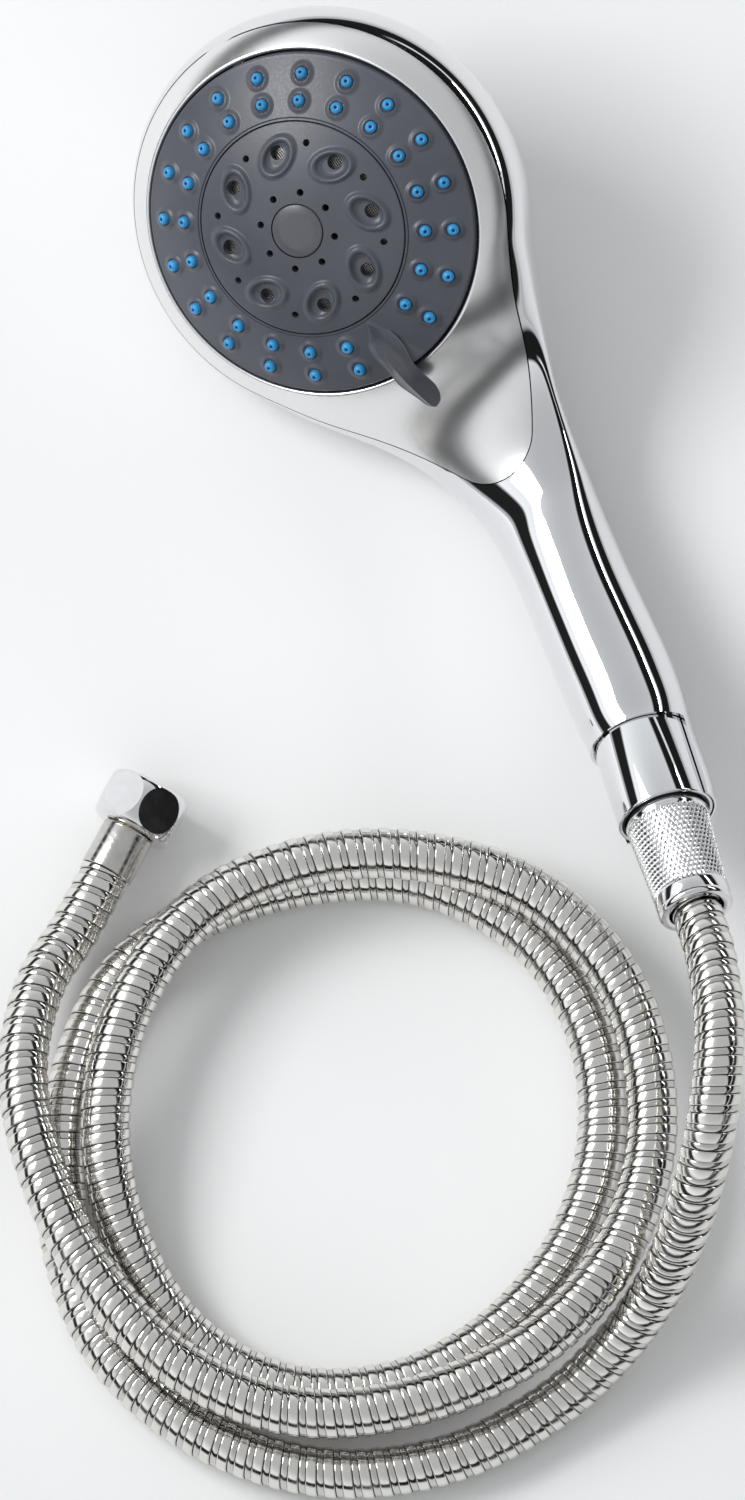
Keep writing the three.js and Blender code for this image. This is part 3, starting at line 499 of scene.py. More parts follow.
def smooth_route(points, spacing):
    """A centripetal Catmull-Rom curve through the points, as evenly spaced points."""
    p = np.array(points, float)
    p = np.vstack([2 * p[0] - p[1], p, 2 * p[-1] - p[-2]])
    dense = []
    for a, b, c, d in zip(p, p[1:], p[2:], p[3:]):
        t1 = np.linalg.norm(b - a) ** 0.5
        t2 = t1 + np.linalg.norm(c - b) ** 0.5
        t3 = t2 + np.linalg.norm(d - c) ** 0.5
        t = np.linspace(t1, t2, 24, endpoint=False)[:, None]
        ab = (t1 - t) / t1 * a + t / t1 * b
        bc = (t2 - t) / (t2 - t1) * b + (t - t1) / (t2 - t1) * c
        cd = (t3 - t) / (t3 - t2) * c + (t - t2) / (t3 - t2) * d
        abc = (t2 - t) / t2 * ab + t / t2 * bc
        bcd = (t3 - t) / (t3 - t1) * bc + (t - t1) / (t3 - t1) * cd
        dense.append((t2 - t) / (t2 - t1) * abc + (t - t1) / (t2 - t1) * bcd)
    dense = np.vstack([*dense, p[-2]])
    along = np.concatenate([[0], np.cumsum(np.linalg.norm(np.diff(dense, axis=0), axis=1))])
    even = np.linspace(0, along[-1], int(along[-1] / spacing) + 1)
    return np.stack([np.interp(even, along, dense[:, k]) for k in range(3)], axis=1), along[-1]


centreline, hose_length = smooth_route([*map(tuple, exits), *HOSE_ROUTE], 0.002)
print("hose length:", round(hose_length, 4), "m")

# %% [markdown]
# The folded profile, over one turn's pitch: a low narrow band, a dark joint, then the wide band with its
# rolled edge. Each point is a share of the pitch along the hose and a height over the hose's full radius, in
# millimetres.

# %% The strip's profile and its winding tree
PITCH = 4.8
TURN_STEPS = 20
STRIP = [
    (0.00, -0.90), (0.00, -0.46), (0.035, -0.36), (0.19, -0.31), (0.345, -0.37), (0.38, -0.48), (0.39, -0.65),
    (0.405, -0.30), (0.42, -0.07), (0.46, 0.0), (0.70, 0.0), (0.93, -0.01), (0.975, -0.08), (0.995, -0.28),
    (1.00, -0.90),
]


def float_curve(tree, value, shares):
    made = node(tree, "ShaderNodeFloatCurve")
    curve = made.mapping.curves[0]
    last = len(shares) - 1
    while len(curve.points) < len(shares):
        curve.points.new(0.5, 0.5)
    for i, share in enumerate(shares):
        curve.points[i].location = (i / last, share)
        curve.points[i].handle_type = "VECTOR"
    made.mapping.update()
    join(tree, value, made.inputs["Value"])
    return made.outputs[0]


def new_tree(name, *inputs):
    """A Geometry Nodes tree with its named inputs, each a name, a kind and perhaps a value."""
    tree = bpy.data.node_groups.new(name, "GeometryNodeTree")
    for label, kind, *value in (("Geometry", "Geometry"), *inputs, ("Finish", "Material")):
        made = tree.interface.new_socket(label, in_out="INPUT", socket_type="NodeSocket" + kind)
        if value:
            made.default_value = value[0]
    tree.interface.new_socket("Geometry", in_out="OUTPUT", socket_type="NodeSocketGeometry")
    return tree, node(tree, "NodeGroupInput")


def end_tree(tree, given, geometry):
    """Make the copies real, give them the finish and pass them out."""
    real = node(tree, "GeometryNodeRealizeInstances", {0: geometry})
    given = {"Geometry": real.outputs[0], "Material": given.outputs["Finish"]}
    node(tree, "NodeGroupOutput", {0: node(tree, "GeometryNodeSetMaterial", given).outputs[0]})


def strip_tree():
    tree, given = new_tree("wind_strip", ("Radius", "Float", HOSE_RADIUS * 0.001),
                           ("Pitch", "Float", PITCH * 0.001), ("Steps per turn", "Int", TURN_STEPS))
    line = given.outputs["Geometry"]
    pitch = given.outputs["Pitch"]
    length = node(tree, "GeometryNodeCurveLength", {0: line})
    turns = maths(tree, "FLOOR", maths(tree, "DIVIDE", length.outputs[0], pitch))
    steps = maths(tree, "MULTIPLY_ADD", turns, given.outputs["Steps per turn"], 1.0)
    grid = node(tree, "GeometryNodeMeshGrid", {"Vertices X": steps, "Vertices Y": len(STRIP)})
    place = node(tree, "ShaderNodeSeparateXYZ", {0: node(tree, "GeometryNodeInputPosition").outputs[0]})
    turn_count = maths(tree, "MULTIPLY", maths(tree, "ADD", place.outputs[0], 0.5), turns)
    angle = maths(tree, "MULTIPLY", turn_count, 2 * math.pi)
    across = maths(tree, "ADD", place.outputs[1], 0.5)
    offset = float_curve(tree, across, [u for u, _ in STRIP])
    drop = float_curve(tree, across, [1 + r / 2 for _, r in STRIP])
    at = maths(tree, "MULTIPLY", maths(tree, "ADD", turn_count, offset), pitch)
    sample = node(tree, "GeometryNodeSampleCurve", {"Curves": line, "Length": at}, mode="LENGTH",
                  use_all_curves=True)
    normal = sample.outputs["Normal"]
    binormal = node(tree, "ShaderNodeVectorMath", {0: sample.outputs["Tangent"], 1: normal},
                    operation="CROSS_PRODUCT")
    radius = maths(tree, "MULTIPLY_ADD", maths(tree, "SUBTRACT", drop, 1.0), 0.002, given.outputs["Radius"])
    lifted = sample.outputs["Position"]
    for direction, wave in ((normal, "COSINE"), (binormal.outputs[0], "SINE")):
        reach = maths(tree, "MULTIPLY", maths(tree, wave, angle), radius)
        scaled = node(tree, "ShaderNodeVectorMath", {0: direction, "Scale": reach}, operation="SCALE")
        lifted = node(tree, "ShaderNodeVectorMath", {0: lifted, 1: scaled.outputs[0]},
                      operation="ADD").outputs[0]
    # The place across the strip is stored while the grid is still flat.
    kept = node(tree, "GeometryNodeStoreNamedAttribute",
                {"Geometry": grid.outputs["Mesh"], "Name": "across", "Value": offset},
                data_type="FLOAT", domain="POINT")
    moved = node(tree, "GeometryNodeSetPosition", {"Geometry": kept.outputs[0], "Position": lifted})
    end_tree(tree, given, moved.outputs[0])
    return tree


def nodes_result(source, tree, name, **inputs):
    """Run a Geometry Nodes tree on an object and return the plain mesh that it makes."""
    modifier = source.modifiers.new(tree.name, "NODES")
    modifier.node_group = tree
    for socket in tree.interface.items_tree:
        if socket.in_out == "INPUT" and socket.name in inputs:
            modifier[socket.identifier] = inputs[socket.name]
    evaluated = source.evaluated_get(bpy.context.evaluated_depsgraph_get())
    mesh = bpy.data.meshes.new_from_object(evaluated)
    mesh.name = name
    bpy.data.objects.remove(source)
    return mesh


def line_object(name, points):
    data = bpy.data.curves.new(name, "CURVE")
    data.dimensions = "3D"
    spline = data.splines.new("POLY")
    spline.points.add(len(points) - 1)
    spline.points.foreach_set("co", np.c_[points, np.ones(len(points))].ravel())
    return scratch_object(name, data)


# %% The hose's finish: bright bands, with painted shade on the narrow band and in the joints
JOINT_AT = 0.392  # the joint between the two bands, as a share of the pitch


def strip_steel():
    made, tree, shader = new_finish("hose_strip_steel", (0.66, 0.645, 0.62), 1.0, 0.14)
    across = node(tree, "ShaderNodeAttribute", attribute_name="across").outputs["Fac"]
    narrow = smooth_band(tree, across, 0.42, 0.52)
    # The narrow band lies lower than the wide one, and its darker tint is painted shade of that recess.
    tint = blended(tree, narrow, (0.64, 0.63, 0.605), (0.80, 0.785, 0.755))
    # The joints and the strip's rolled edges are darkened to 0.22 of the tint: painted shade in the crevices.
    from_joint = maths(tree, "ABSOLUTE", maths(tree, "SUBTRACT", across, JOINT_AT))
    joint_in = smooth_band(tree, from_joint, 0.006, 0.022)
    from_middle = maths(tree, "ABSOLUTE", maths(tree, "SUBTRACT", across, 0.5))
    edge_in = smooth_band(tree, from_middle, 0.475, 0.495, 1.0, 0.0)
    painted_joint_shade = maths(tree, "MAXIMUM", maths(tree, "MULTIPLY", joint_in, edge_in), 0.22)
    shade = node(tree, "ShaderNodeMix", {0: 1.0, 6: tint, 7: painted_joint_shade}, data_type="RGBA", blend_type="MULTIPLY")
    marks = noise(tree, 160, 3)
    set_look(tree, shader, shade.outputs[2], smooth_band(tree, marks, 0.35, 0.75, 0.10, 0.24))
    return made


finishes["hose_steel"] = strip_steel()
hose_mesh = nodes_result(line_object("hose_line", centreline), strip_tree(), "hose_strip",
                         Radius=HOSE_RADIUS * 0.001, Pitch=PITCH * 0.001, Finish=finishes["hose_steel"])
hose = finish_piece("hose_strip", hose_mesh, Matrix.Identity(4), "handset", "hose_steel", ["hose"],
                    sharp=math.radians(60))
print("hose faces:", len(hose_mesh.polygons))

# %% [markdown]
# ## The handset's shell
#
# The real body is two mouldings: a deep rear shell that runs on down the handle, and a front cover let into
# it, drop-shaped, with a joint line as fine as a hair. Both are cut here from one skin, so that their
# surfaces meet exactly. The skin is a loft through sections that are eased into each other, and it is dense,
# because chrome shows every flat.

# %% Sections of the skin
FACE_RADIUS = 47.4
HEAD_RADIUS, HEAD_FRONT, HEAD_BACK, HEAD_FULLNESS = 57, 24, 28, 2.4
HEAD_Z = -12.99
BACK_ROUNDS = (45, 74)  # between these places the full back turns into an ellipse
WALL = 2.2
GAP = 0.3  # between pieces that touch
LOFT_FROM = 30  # the round head ends this far down from the face's middle
HEAD_ROWS, LOFT_ROWS = 60, 150
HANDLE = [  # place down the handle, height, tilt in degrees, half width, front and back heights
    (38, -13.5, 0, 43.3, 18.4, 27), (45, -15, 0, 39.5, 16.3, 25.3), (50, -16.5, 0, 36.5, 14.2, 23.5),
    (55, -18.3, 0, 33.5, 10.8, 21), (60, -20.3, 0, 30.5, 8.8, 18.4), (67, -22.3, 0, 26.6, 7.3, 15.8),
    (74, -23.5, 0, 23.3, 7, 14), (81, -24.3, 2, 20.8, 7.6, 12.8), (88, -24.6, 6, 18.8, 9, 12.4),
    (96, -24, 12, 17.1, 11, 12.8), (106.6, -21, 20, 15.8, 13.2, 14), (121, -15.6, 22, 15.2, 14.6, 14.8),
    (136.4, -9.5, 22, 15.5, 15.2, 15.2), (150, -4, 24, 15.8, 15.4, 15.6), (160, 0.8, 28, 15.4, 15, 15.6),
]
COLLAR_RADIUS = 13.35
HANDLE_END = [(-25, 14.5, 14.1, 15.2), (-13, 15, 14.2, 15.3), (-4, 14.9, 14.2, 15.1), (0, 14.3, 14, 14.4)]


def head_row(angle):
    s, share = -HEAD_RADIUS * math.cos(angle), math.sin(angle)
    back = 1 if s > 0 else (1 - abs(math.cos(angle)) ** HEAD_FULLNESS) ** (1 / HEAD_FULLNESS)
    return (s, HEAD_Z, 0, HEAD_RADIUS * share, HEAD_FRONT * share, HEAD_BACK * back)


def eased(knots, values, at):
    """Smooth rows between rows of values: cubic pieces with the slopes of their neighbours."""
    knots, values = np.array(knots, float), np.array(values, float)
    slope = np.gradient(values, knots, axis=0)
    i = np.clip(np.searchsorted(knots, at, side="right") - 1, 0, len(knots) - 2)
    width = (knots[i + 1] - knots[i])[:, None]
    t = (at - knots[i])[:, None] / width
    return ((2 * t**3 - 3 * t**2 + 1) * values[i] + (t**3 - 2 * t**2 + t) * width * slope[i]
            + (3 * t**2 - 2 * t**3) * values[i + 1] + (t**3 - t**2) * width * slope[i + 1])


def body_rows():
    last = math.acos(-LOFT_FROM / HEAD_RADIUS)
    head = [head_row(last * (i + 0.4) / (HEAD_ROWS - 0.6)) for i in range(HEAD_ROWS)]
    tail = []
    end_turn = Matrix.Rotation(math.pi / 2 - END_TILT, 4, "X")
    for e, half, front, back in HANDLE_END:
        middle = Matrix.Translation(RIM_PLACE) @ end_turn @ Vector((0, 0, e))
        tail.append((-middle.y, middle.z, math.degrees(END_TILT), half, front, back))
    rows = np.array([*head[-9::4], *HANDLE, *tail], float)
    knots = np.concatenate([[0], np.cumsum(np.hypot(np.diff(rows[:, 0]), np.diff(rows[:, 1])))])
    start = knots[2]
    body = eased(knots, rows, np.linspace(start, knots[-1], LOFT_ROWS + 1)[1:])
    # A light brush along the handle takes out the last unevenness of the sections.
    weights = np.exp(-0.5 * (np.arange(-6, 7) / 2.6) ** 2)
    weights /= weights.sum()
    padded = [np.pad(column, 6, mode="edge") for column in body.T]
    smooth = np.stack([np.convolve(column, weights, "valid") for column in padded], axis=1)
    place = np.arange(LOFT_ROWS)
    blend = np.clip(np.minimum(place, LOFT_ROWS - 1 - place) / 8, 0, 1)[:, None]
    return np.vstack([head, body * (1 - blend) + smooth * blend])


BODY_ROWS = body_rows()


def body_mesh(inset, round_count, step=1):
    turn = 2 * np.pi * (np.arange(round_count) + 0.5) / round_count
    behind = np.sin(turn) < 0
    points, faces = [], []
    rows = BODY_ROWS[::step]
    for s, z, tilt, half, front, back in rows:
        fullness = np.interp(s, BACK_ROUNDS, (HEAD_FULLNESS, 2))
        bend = np.where(behind, 2 / fullness, 1)
        across = np.sign(np.cos(turn)) * np.abs(np.cos(turn)) ** bend
        up = np.sign(np.sin(turn)) * np.abs(np.sin(turn)) ** bend
        size = np.where(behind, back, front)
        deep = max(0.02, 1 - inset / max(half, 1e-6)), np.maximum(0.02, 1 - inset / size)
        tilt = math.radians(tilt)
        x = half * deep[0] * across
        lift = size * deep[1] * up
        points.append(np.stack([x, -s + lift * math.sin(tilt), z + lift * math.cos(tilt)], axis=1))
    if inset:
        # The hollow stays inside the ends as well: its pole moves in, and it runs out past the rim.
        points = [p for p, row in zip(points, rows) if row[0] > -HEAD_RADIUS + inset]
        out = np.array([0, -math.cos(END_TILT), math.sin(END_TILT)]) * 6
        points.append(points[-1] + out)
    for i in range(len(points) - 1):
        for j in range(round_count):
            k = (j + 1) % round_count
            a, b = i * round_count, (i + 1) * round_count
            faces.append((a + j, a + k, b + k, b + j))
    flat = [tuple(p) for row in points for p in row]
    first, last = len(flat), (len(points) - 1) * round_count
    top = points[0].mean(axis=0)
    if not inset:
        top[1] = HEAD_RADIUS
    flat += [tuple(top), tuple(points[-1].mean(axis=0))]
    for j in range(round_count):
        k = (j + 1) % round_count
        faces += [(first, k, j), (first + 1, last + j, last + k)]
    return outward(mesh_of("body", flat, faces))


skin_form = body_mesh(0, 160)
skin_normals = [v.normal.copy() for v in skin_form.vertices]
skin_faces = [tuple(p.vertices) for p in skin_form.polygons]
skin_tree = BVHTree.FromPolygons([v.co for v in skin_form.vertices], skin_faces)
print("skin faces:", len(skin_faces))

# %% [markdown]
# Cutting leaves long thin triangles along each cut, and those would smear the reflections. So each corner
# that lies on the outer skin takes its shading direction from the uncut form, and the cut walls keep theirs.

# %% Keep the skin's smooth shading after the cuts
ON_SKIN = 0.03  # a point nearer than this lies on the skin


def skin_normal(point):
    place, _, index, distance = skin_tree.find_nearest(point)
    if distance is None or distance > ON_SKIN:
        return None
    corners = skin_faces[index]
    weights = [1 / ((Vector(skin_form.vertices[c].co) - place).length + 1e-4) ** 2 for c in corners]
    total = Vector()
    for corner, weight in zip(corners, weights):
        total += skin_normals[corner] * weight
    return total.normalized()


def keep_skin_shading(mesh, turn):
    """Custom normals from the uncut skin, worked out before the mesh is placed by the matrix turn."""
    known = {}
    custom = [Vector()] * len(mesh.loops)
    rotate = turn.to_3x3().normalized()
    split = [Vector(n.vector) for n in mesh.corner_normals]
    for face in mesh.polygons:
        on_skin = []
        for index in face.vertices:
            if index not in known:
                known[index] = skin_normal(mesh.vertices[index].co)
            on_skin.append(known[index])
        outer = all(n is not None and n.dot(face.normal) > 0.9 for n in on_skin)
        for loop, normal in zip(face.loop_indices, on_skin):
            custom[loop] = rotate @ (normal if outer else split[loop])
    return custom


def finish_skin(name, mesh, finish, replaced):
    mesh.shade_smooth()
    mesh.set_sharp_from_angle(angle=SHARP)
    custom = keep_skin_shading(mesh, HANDSET)
    made = finish_piece(name, mesh, HANDSET, "handset", finish, replaced)
    made.data.normals_split_custom_set(custom)
    return made


# %% Front cover's outline, and the room that it takes
SEAM_RADIUS, SEAM_TIP_RADIUS, COVER_LENGTH = 54.5, 15, 87.4
COVER_FLOOR = -12
TAIL_FLOORS = ((46, -19), (60, -24))  # and from these places down the handle
ROOM_TOP = 30


def cover_outline(grow, steps=96):
    tip = COVER_LENGTH - SEAM_TIP_RADIUS
    lean = math.asin((SEAM_RADIUS - SEAM_TIP_RADIUS) / tip)
    wide, narrow = SEAM_RADIUS + grow, SEAM_TIP_RADIUS + grow
    points = [(wide * math.cos(angle), wide * math.sin(angle))
              for angle in np.linspace(-lean, math.pi + lean, steps * 2)]
    points += [(narrow * math.cos(angle), -tip + narrow * math.sin(angle))
               for angle in np.linspace(math.pi + lean, 2 * math.pi - lean, steps)]
    return points


def prism(outline, bottom, top):
    count = len(outline)
    points = [(x, y, z) for z in (bottom, top) for x, y in outline]
    faces = [(i, (i + 1) % count, count + (i + 1) % count, count + i) for i in range(count)]
    faces += [tuple(range(count))[::-1], tuple(range(count, 2 * count))]
    return outward(mesh_of("prism", points, faces))


def box_mesh(low, high):
    corners = [(low[0], low[1]), (high[0], low[1]), (high[0], high[1]), (low[0], high[1])]
    return prism(corners, low[2], high[2])


def cover_room(grow):
    room = prism(cover_outline(grow), COVER_FLOOR - grow, ROOM_TOP)
    # Down the neck the skin's side falls away, so there the cover reaches deeper.
    for start, floor in TAIL_FLOORS:
        beyond = box_mesh((-70, -100, -50), (70, -start + grow, 40))
        deeper = prism(cover_outline(grow), floor - grow, ROOM_TOP)
        room = boolean(room, boolean(deeper, beyond, "INTERSECT"), "UNION")
    return room


# %% Cut the rear shell
SCREW_RING, SCREW_COUNT = 47.0, 3
BOSS_RADIUS, BOSS_TOP = 3.4, -20.3
SCREW_HOLE, SCREW_HOLE_END = 1.7, -26.3
COLLAR_LENGTH = 26
TAIL_EDGE = -0.6  # the handle's tail covers the collar below this level

skin = boolean(skin_form.copy(), body_mesh(WALL, 64, 2), "DIFFERENCE")
TO_CONNECTION = HANDSET.inverted() @ CONNECTION
rear = skin.copy()
for i in range(SCREW_COUNT):
    angle = math.pi / 2 + 2 * math.pi * i / SCREW_COUNT
    place = Matrix.Translation((SCREW_RING * math.cos(angle), SCREW_RING * math.sin(angle), 0))
    boss = rod_mesh(BOSS_RADIUS, -40, BOSS_TOP, 32)
    boss.transform(place)
    rear = boolean(rear, boolean(boss, skin_form.copy(), "INTERSECT"), "UNION")
    hole = rod_mesh(SCREW_HOLE, SCREW_HOLE_END, BOSS_TOP + 1, 24)
    hole.transform(place)
    rear = boolean(rear, hole, "DIFFERENCE")
rear = boolean(rear, cover_room(GAP), "DIFFERENCE")
seat = rod_mesh(COLLAR_RADIUS + GAP, -COLLAR_LENGTH - GAP, 6, 96)
over_collar = box_mesh((-30, TAIL_EDGE, 1 - COLLAR_LENGTH), (30, 60, 20))
for tool in (seat, over_collar):
    tool.transform(TO_CONNECTION)
    rear = boolean(rear, tool, "DIFFERENCE")
finish_skin("rear_shell_plated", rear, "shell_chrome", ["rear_shell"])
print("rear shell faces:", len(rear.polygons))

# %% [markdown]
# The cover's opening has a rounded lip that rolls down into a short wall. The lip is a ring swept round the
# opening with its outer edge on the skin, so its height follows the skin where the neck begins to fall away.

# %% Front cover with its rolled lip
OPENING = FACE_RADIUS + 0.4  # room to turn
LIP = 1.3
LIP_STEPS = 8
OPENING_WALL, OPENING_FLOOR = 1.8, -9


def opening_lip(sides=240):
    points = []
    for i in range(sides):
        angle = 2 * math.pi * i / sides
        c, s = math.cos(angle), math.sin(angle)
        start = Vector(((OPENING + LIP) * c, (OPENING + LIP) * s, 40))
        hit, normal, _, _ = skin_tree.ray_cast(start, Vector((0, 0, -1)))
        fall = -math.tan(math.acos(min(1, normal.z)))
        profile = []
        for step in range(LIP_STEPS + 1):
            t = step / LIP_STEPS * math.pi / 2
            inward = LIP * math.sin(t)
            z = hit.z - inward * fall * (1 - step / LIP_STEPS) - LIP * (1 - math.cos(t))
            profile.append((OPENING + LIP - inward, z))
        outer = OPENING + OPENING_WALL
        profile += [(OPENING, OPENING_FLOOR), (outer, OPENING_FLOOR), (outer, hit.z - 1.2),
                    (OPENING + LIP, hit.z - 0.9)]
        points += [(r * c, r * s, z) for r, z in profile]
    return outward(mesh_of("lip", points, ring_faces(sides, len(profile))))


cover = boolean(skin.copy(), cover_room(0), "INTERSECT")
cover = boolean(cover, rod_mesh(OPENING + LIP, -8, 40, 240), "DIFFERENCE")
# The lever sweeps over the cover as the face turns, and this ring is its room.
sweep = [(61.2, -5.4), (58.6, -5.4), (55.8, -3.4), (53, -0.4), (50.4, 0.8), (50.4, ROOM_TOP),
         (61.2, ROOM_TOP)]
cover = boolean(cover, turned(sweep, 160), "DIFFERENCE")
cover = joined_mesh("cover", [cover, opening_lip()])
finish_skin("front_cover_plated", cover, "cover_chrome", ["front_cover"])
print("front cover faces:", len(cover.polygons))

# %% [markdown]
# The collar at the end of the handle is turned: a rolled rim, a thin wall and the black seal pressed inside.

# %% End collar and its seal
THREAD_ROOM = 10.0  # the nut's bore, and the collar's behind its rim
RIM_BORE, RIM_DEPTH = 12.3, 6

collar = [(THREAD_ROOM, -COLLAR_LENGTH), (COLLAR_RADIUS, -COLLAR_LENGTH), (COLLAR_RADIUS, 0), (RIM_BORE, 0),
          (RIM_BORE, -RIM_DEPTH), (THREAD_ROOM, -RIM_DEPTH)]
finish_piece("end_collar_turned", turned(rounded(collar, 0.5), 128), CONNECTION, "handset", "shell_chrome",
             ["end_collar"])
seal = [(THREAD_ROOM, -5.7), (12.25, -5.7), (12.25, -0.35), (11.55, -0.35), (11.55, -1.6),
        (THREAD_ROOM, -1.6)]
finish_piece("collar_seal_moulded", turned(rounded(seal, 0.3), 96), CONNECTION, "handset", "seal_black",
             ["collar_seal"])

# %% [markdown]
# ## The spray face
#
# The face is a shallow dome in two moulded plates, a ring that turns and a centre. They are made as height
# fields on a polar grid, as fine as the real mould's detail: soft bosses swell round every nozzle, and an
# oval ridge frames each of the eight screened holes.

# %% Height of the dome, with soft bumps and dips
DOME = 100.0
DOME_DROP = math.sqrt(DOME**2 - FACE_RADIUS**2)
PLATE_WALL = 2.6
CENTRE_RADIUS = 29.65
CAP_RADIUS = 7.35
NOZZLE_RINGS = (42.1, 35.1)
NOZZLE_ANGLES = [-math.pi / 2 + math.radians(3 + 18 * (i + 1)) for i in range(19)]
EYE_RING = 22.0
OVAL_RING, OVAL_LONG, OVAL_SHORT = 20.9, 5.5, 3.9  # place and half sizes of the ridge round each eye
EYE_LEAN = math.radians(50)
EYE_ANGLES = [math.pi / 2 - math.radians(17.5) + math.pi / 4 * i for i in range(8)]


def dome(r):
    return np.sqrt(DOME**2 - np.square(r)) - DOME_DROP


def under(r, depth=PLATE_WALL):
    """The point at radius r that lies this deep below the dome."""
    return (r, float(dome(r)) - depth)


def soft(x):
    """One at zero, falling smoothly to nothing at one and beyond."""
    x = np.clip(np.abs(x), 0, 1)
    return (1 - x * x) ** 2


def nozzle_bosses(x, y):
    lift = np.zeros_like(x)
    for ring in NOZZLE_RINGS:
        for angle in NOZZLE_ANGLES:
            away = np.hypot(x - ring * math.cos(angle), y - ring * math.sin(angle))
            lift += 0.62 * soft(np.maximum(away - 2.0, 0) / 1.55) - 0.6 * soft((away - 1.55) / 0.55)
    # The lever's foot: a low ramp that widens towards the rim.
    out = np.clip((-y - 30.5) / 16.9, 0, 1) * (y < 0)
    width = 0.6 + 6.4 * out
    flank = np.clip((np.abs(x - 0.6) - 0.35 * width) / (0.65 * width), 0, 1)
    lift -= 0.3 * soft((np.hypot(x, y) - 30.7) / 0.2)
    return lift + 2.1 * out * (1 - flank) ** 1.4 * (out > 0)


def eye_ridges(x, y):
    lift = np.zeros_like(x)
    for angle in EYE_ANGLES:
        lean = angle - EYE_LEAN
        dx = x - OVAL_RING * math.cos(angle)
        dy = y - OVAL_RING * math.sin(angle)
        along = dx * math.cos(lean) + dy * math.sin(lean)
        aside = -dx * math.sin(lean) + dy * math.cos(lean)
        oval = np.hypot(along / OVAL_LONG, aside / OVAL_SHORT)
        dish = (1 - np.clip((oval - 0.55) / 0.35, 0, 1)) ** 1.5 * (oval < 1)
        lift += soft((oval - 1) / 0.30) - 0.7 * dish
    return lift


def polar_plate(top_radii, rim, lower_outline, turns, relief):
    """A closed ring: a height field on top and over its rim, closed below by plain [radius, z] points."""
    angles = 2 * np.pi * np.arange(turns) / turns
    rows = []
    for r, z in [(r, float(dome(r))) for r in top_radii] + rim:
        x, y = r * np.cos(angles), r * np.sin(angles)
        rows.append(np.stack([x, y, z + relief(x, y)], axis=1))
    for r, z in lower_outline:
        rows.append(np.stack([r * np.cos(angles), r * np.sin(angles), np.full(turns, z)], axis=1))
    return outward(mesh_of("plate", np.vstack(rows), ring_faces(len(rows), turns)))


# %% Spray ring
def rolled_rim(radius, height, size, steps=5):
    """The outer edge's rounding, from the top over to the side."""
    turn = [math.pi / 2 * (i + 1) / steps for i in range(steps)]
    return [(radius - size + size * math.sin(t), height - size * (1 - math.cos(t))) for t in turn]


ring_top = np.concatenate([[30.05, 30.3, 30.5, 30.6, 30.7, 30.8, 30.9, 31.1], np.linspace(31.4, 46.6, 52)])
ring_rim = rolled_rim(FACE_RADIUS, float(dome(46.7)), 0.8)
SKIRT, SKIRT_WALL = 4, 2
ring_below = [(FACE_RADIUS, -SKIRT), (FACE_RADIUS - SKIRT_WALL, -SKIRT), under(FACE_RADIUS - SKIRT_WALL),
              under(38), under(30), under(29.95, 0.35)]
ring_plate = polar_plate(ring_top, ring_rim, ring_below, 900, nozzle_bosses)
print("ring plate faces:", len(ring_plate.polygons))

# %% [markdown]
# The lever is a leaf that grows out of the ring's lower edge and hangs over the cover. It was moulded with a
# keel along its top, so light breaks along it, and its sides flare softly into the ring.

# %% Lever
# Each outline runs from inside the ring to the tip: place beyond the face's rim, then height or half width.
LEVER_TOP = [(-17.6, 4.9), (-16.4, 6.2), (-14.4, 7.9), (-11.5, 9.2), (-8, 9.7), (-4, 9.4), (0, 8.4), (4, 6.7),
             (8, 4.4), (11, 2.2), (12.8, 0.2), (13.35, -1.6)]
LEVER_BELOW = [(-17.6, 3.9), (-11.4, 3.4), (-3.4, 1.4), (0.8, 1.2), (3.4, 0.2), (6.2, -2.4), (9, -4.3),
               (11.4, -4.3), (12.9, -3.4), (13.35, -1.8)]
LEVER_HALF = [(-17.6, 0.3), (-16, 1.5), (-12, 2.7), (-7, 3.5), (-1, 3.8), (5, 3.7), (9, 3.2), (11.5, 2.4),
              (12.8, 1.3), (13.35, 0.3)]
RIDGE = 0.13  # the ridge's half width, as a share of the lever's


def lever_mesh(stations=64, around=36):
    at = -17.6 + 30.95 * (0.5 - 0.5 * np.cos(np.linspace(0, np.pi, stations)))
    top, below, half = (eased(*zip(*[(x, (z,)) for x, z in line]), at)[:, 0]
                        for line in (LEVER_TOP, LEVER_BELOW, LEVER_HALF))
    points, faces = [], []
    for x, high, low, wide in zip(at, top, below, half):
        flare = 1.6 * soft((x + 9) / 9) if x < 0 else 0.0
        keel = 0.12 * wide  # the ridge stands a little right of the leaf's middle
        for j in range(around):
            turn = 2 * math.pi * j / around
            c, s = math.cos(turn), math.sin(turn)
            if s >= 0:  # the keeled top: hollow flanks that meet in a narrow rounded ridge
                share = abs(c)
                lift = 1 - max(0, (share - RIDGE) / (1 - RIDGE)) ** 0.75 - 0.05 * min(1, share / RIDGE) ** 2
                side = wide * c * (1 + 0.25 * flare * share**3) + keel * (1 - share)
                z = low + (high - low) * (0.30 + 0.70 * max(0, lift))
            else:
                side = wide * c * (1 + 0.25 * flare)
                z = low + (high - low) * 0.30 * (1 - abs(s) ** 0.8)
            points.append((side, -(FACE_RADIUS + x), z))
    for i in range(stations - 1):
        for j in range(around):
            k = (j + 1) % around
            faces.append((i * around + j, i * around + k, (i + 1) * around + k, (i + 1) * around + j))
    faces += [tuple(range(around)), tuple((stations - 1) * around + j for j in range(around))[::-1]]
    return outward(mesh_of("lever", points, faces))


ring_mesh = joined_mesh("ring", [ring_plate, lever_mesh()])
finish_piece("spray_ring_moulded", ring_mesh, HANDSET, "selector", "face_grey", ["spray_ring"],
             sharp=math.radians(26))

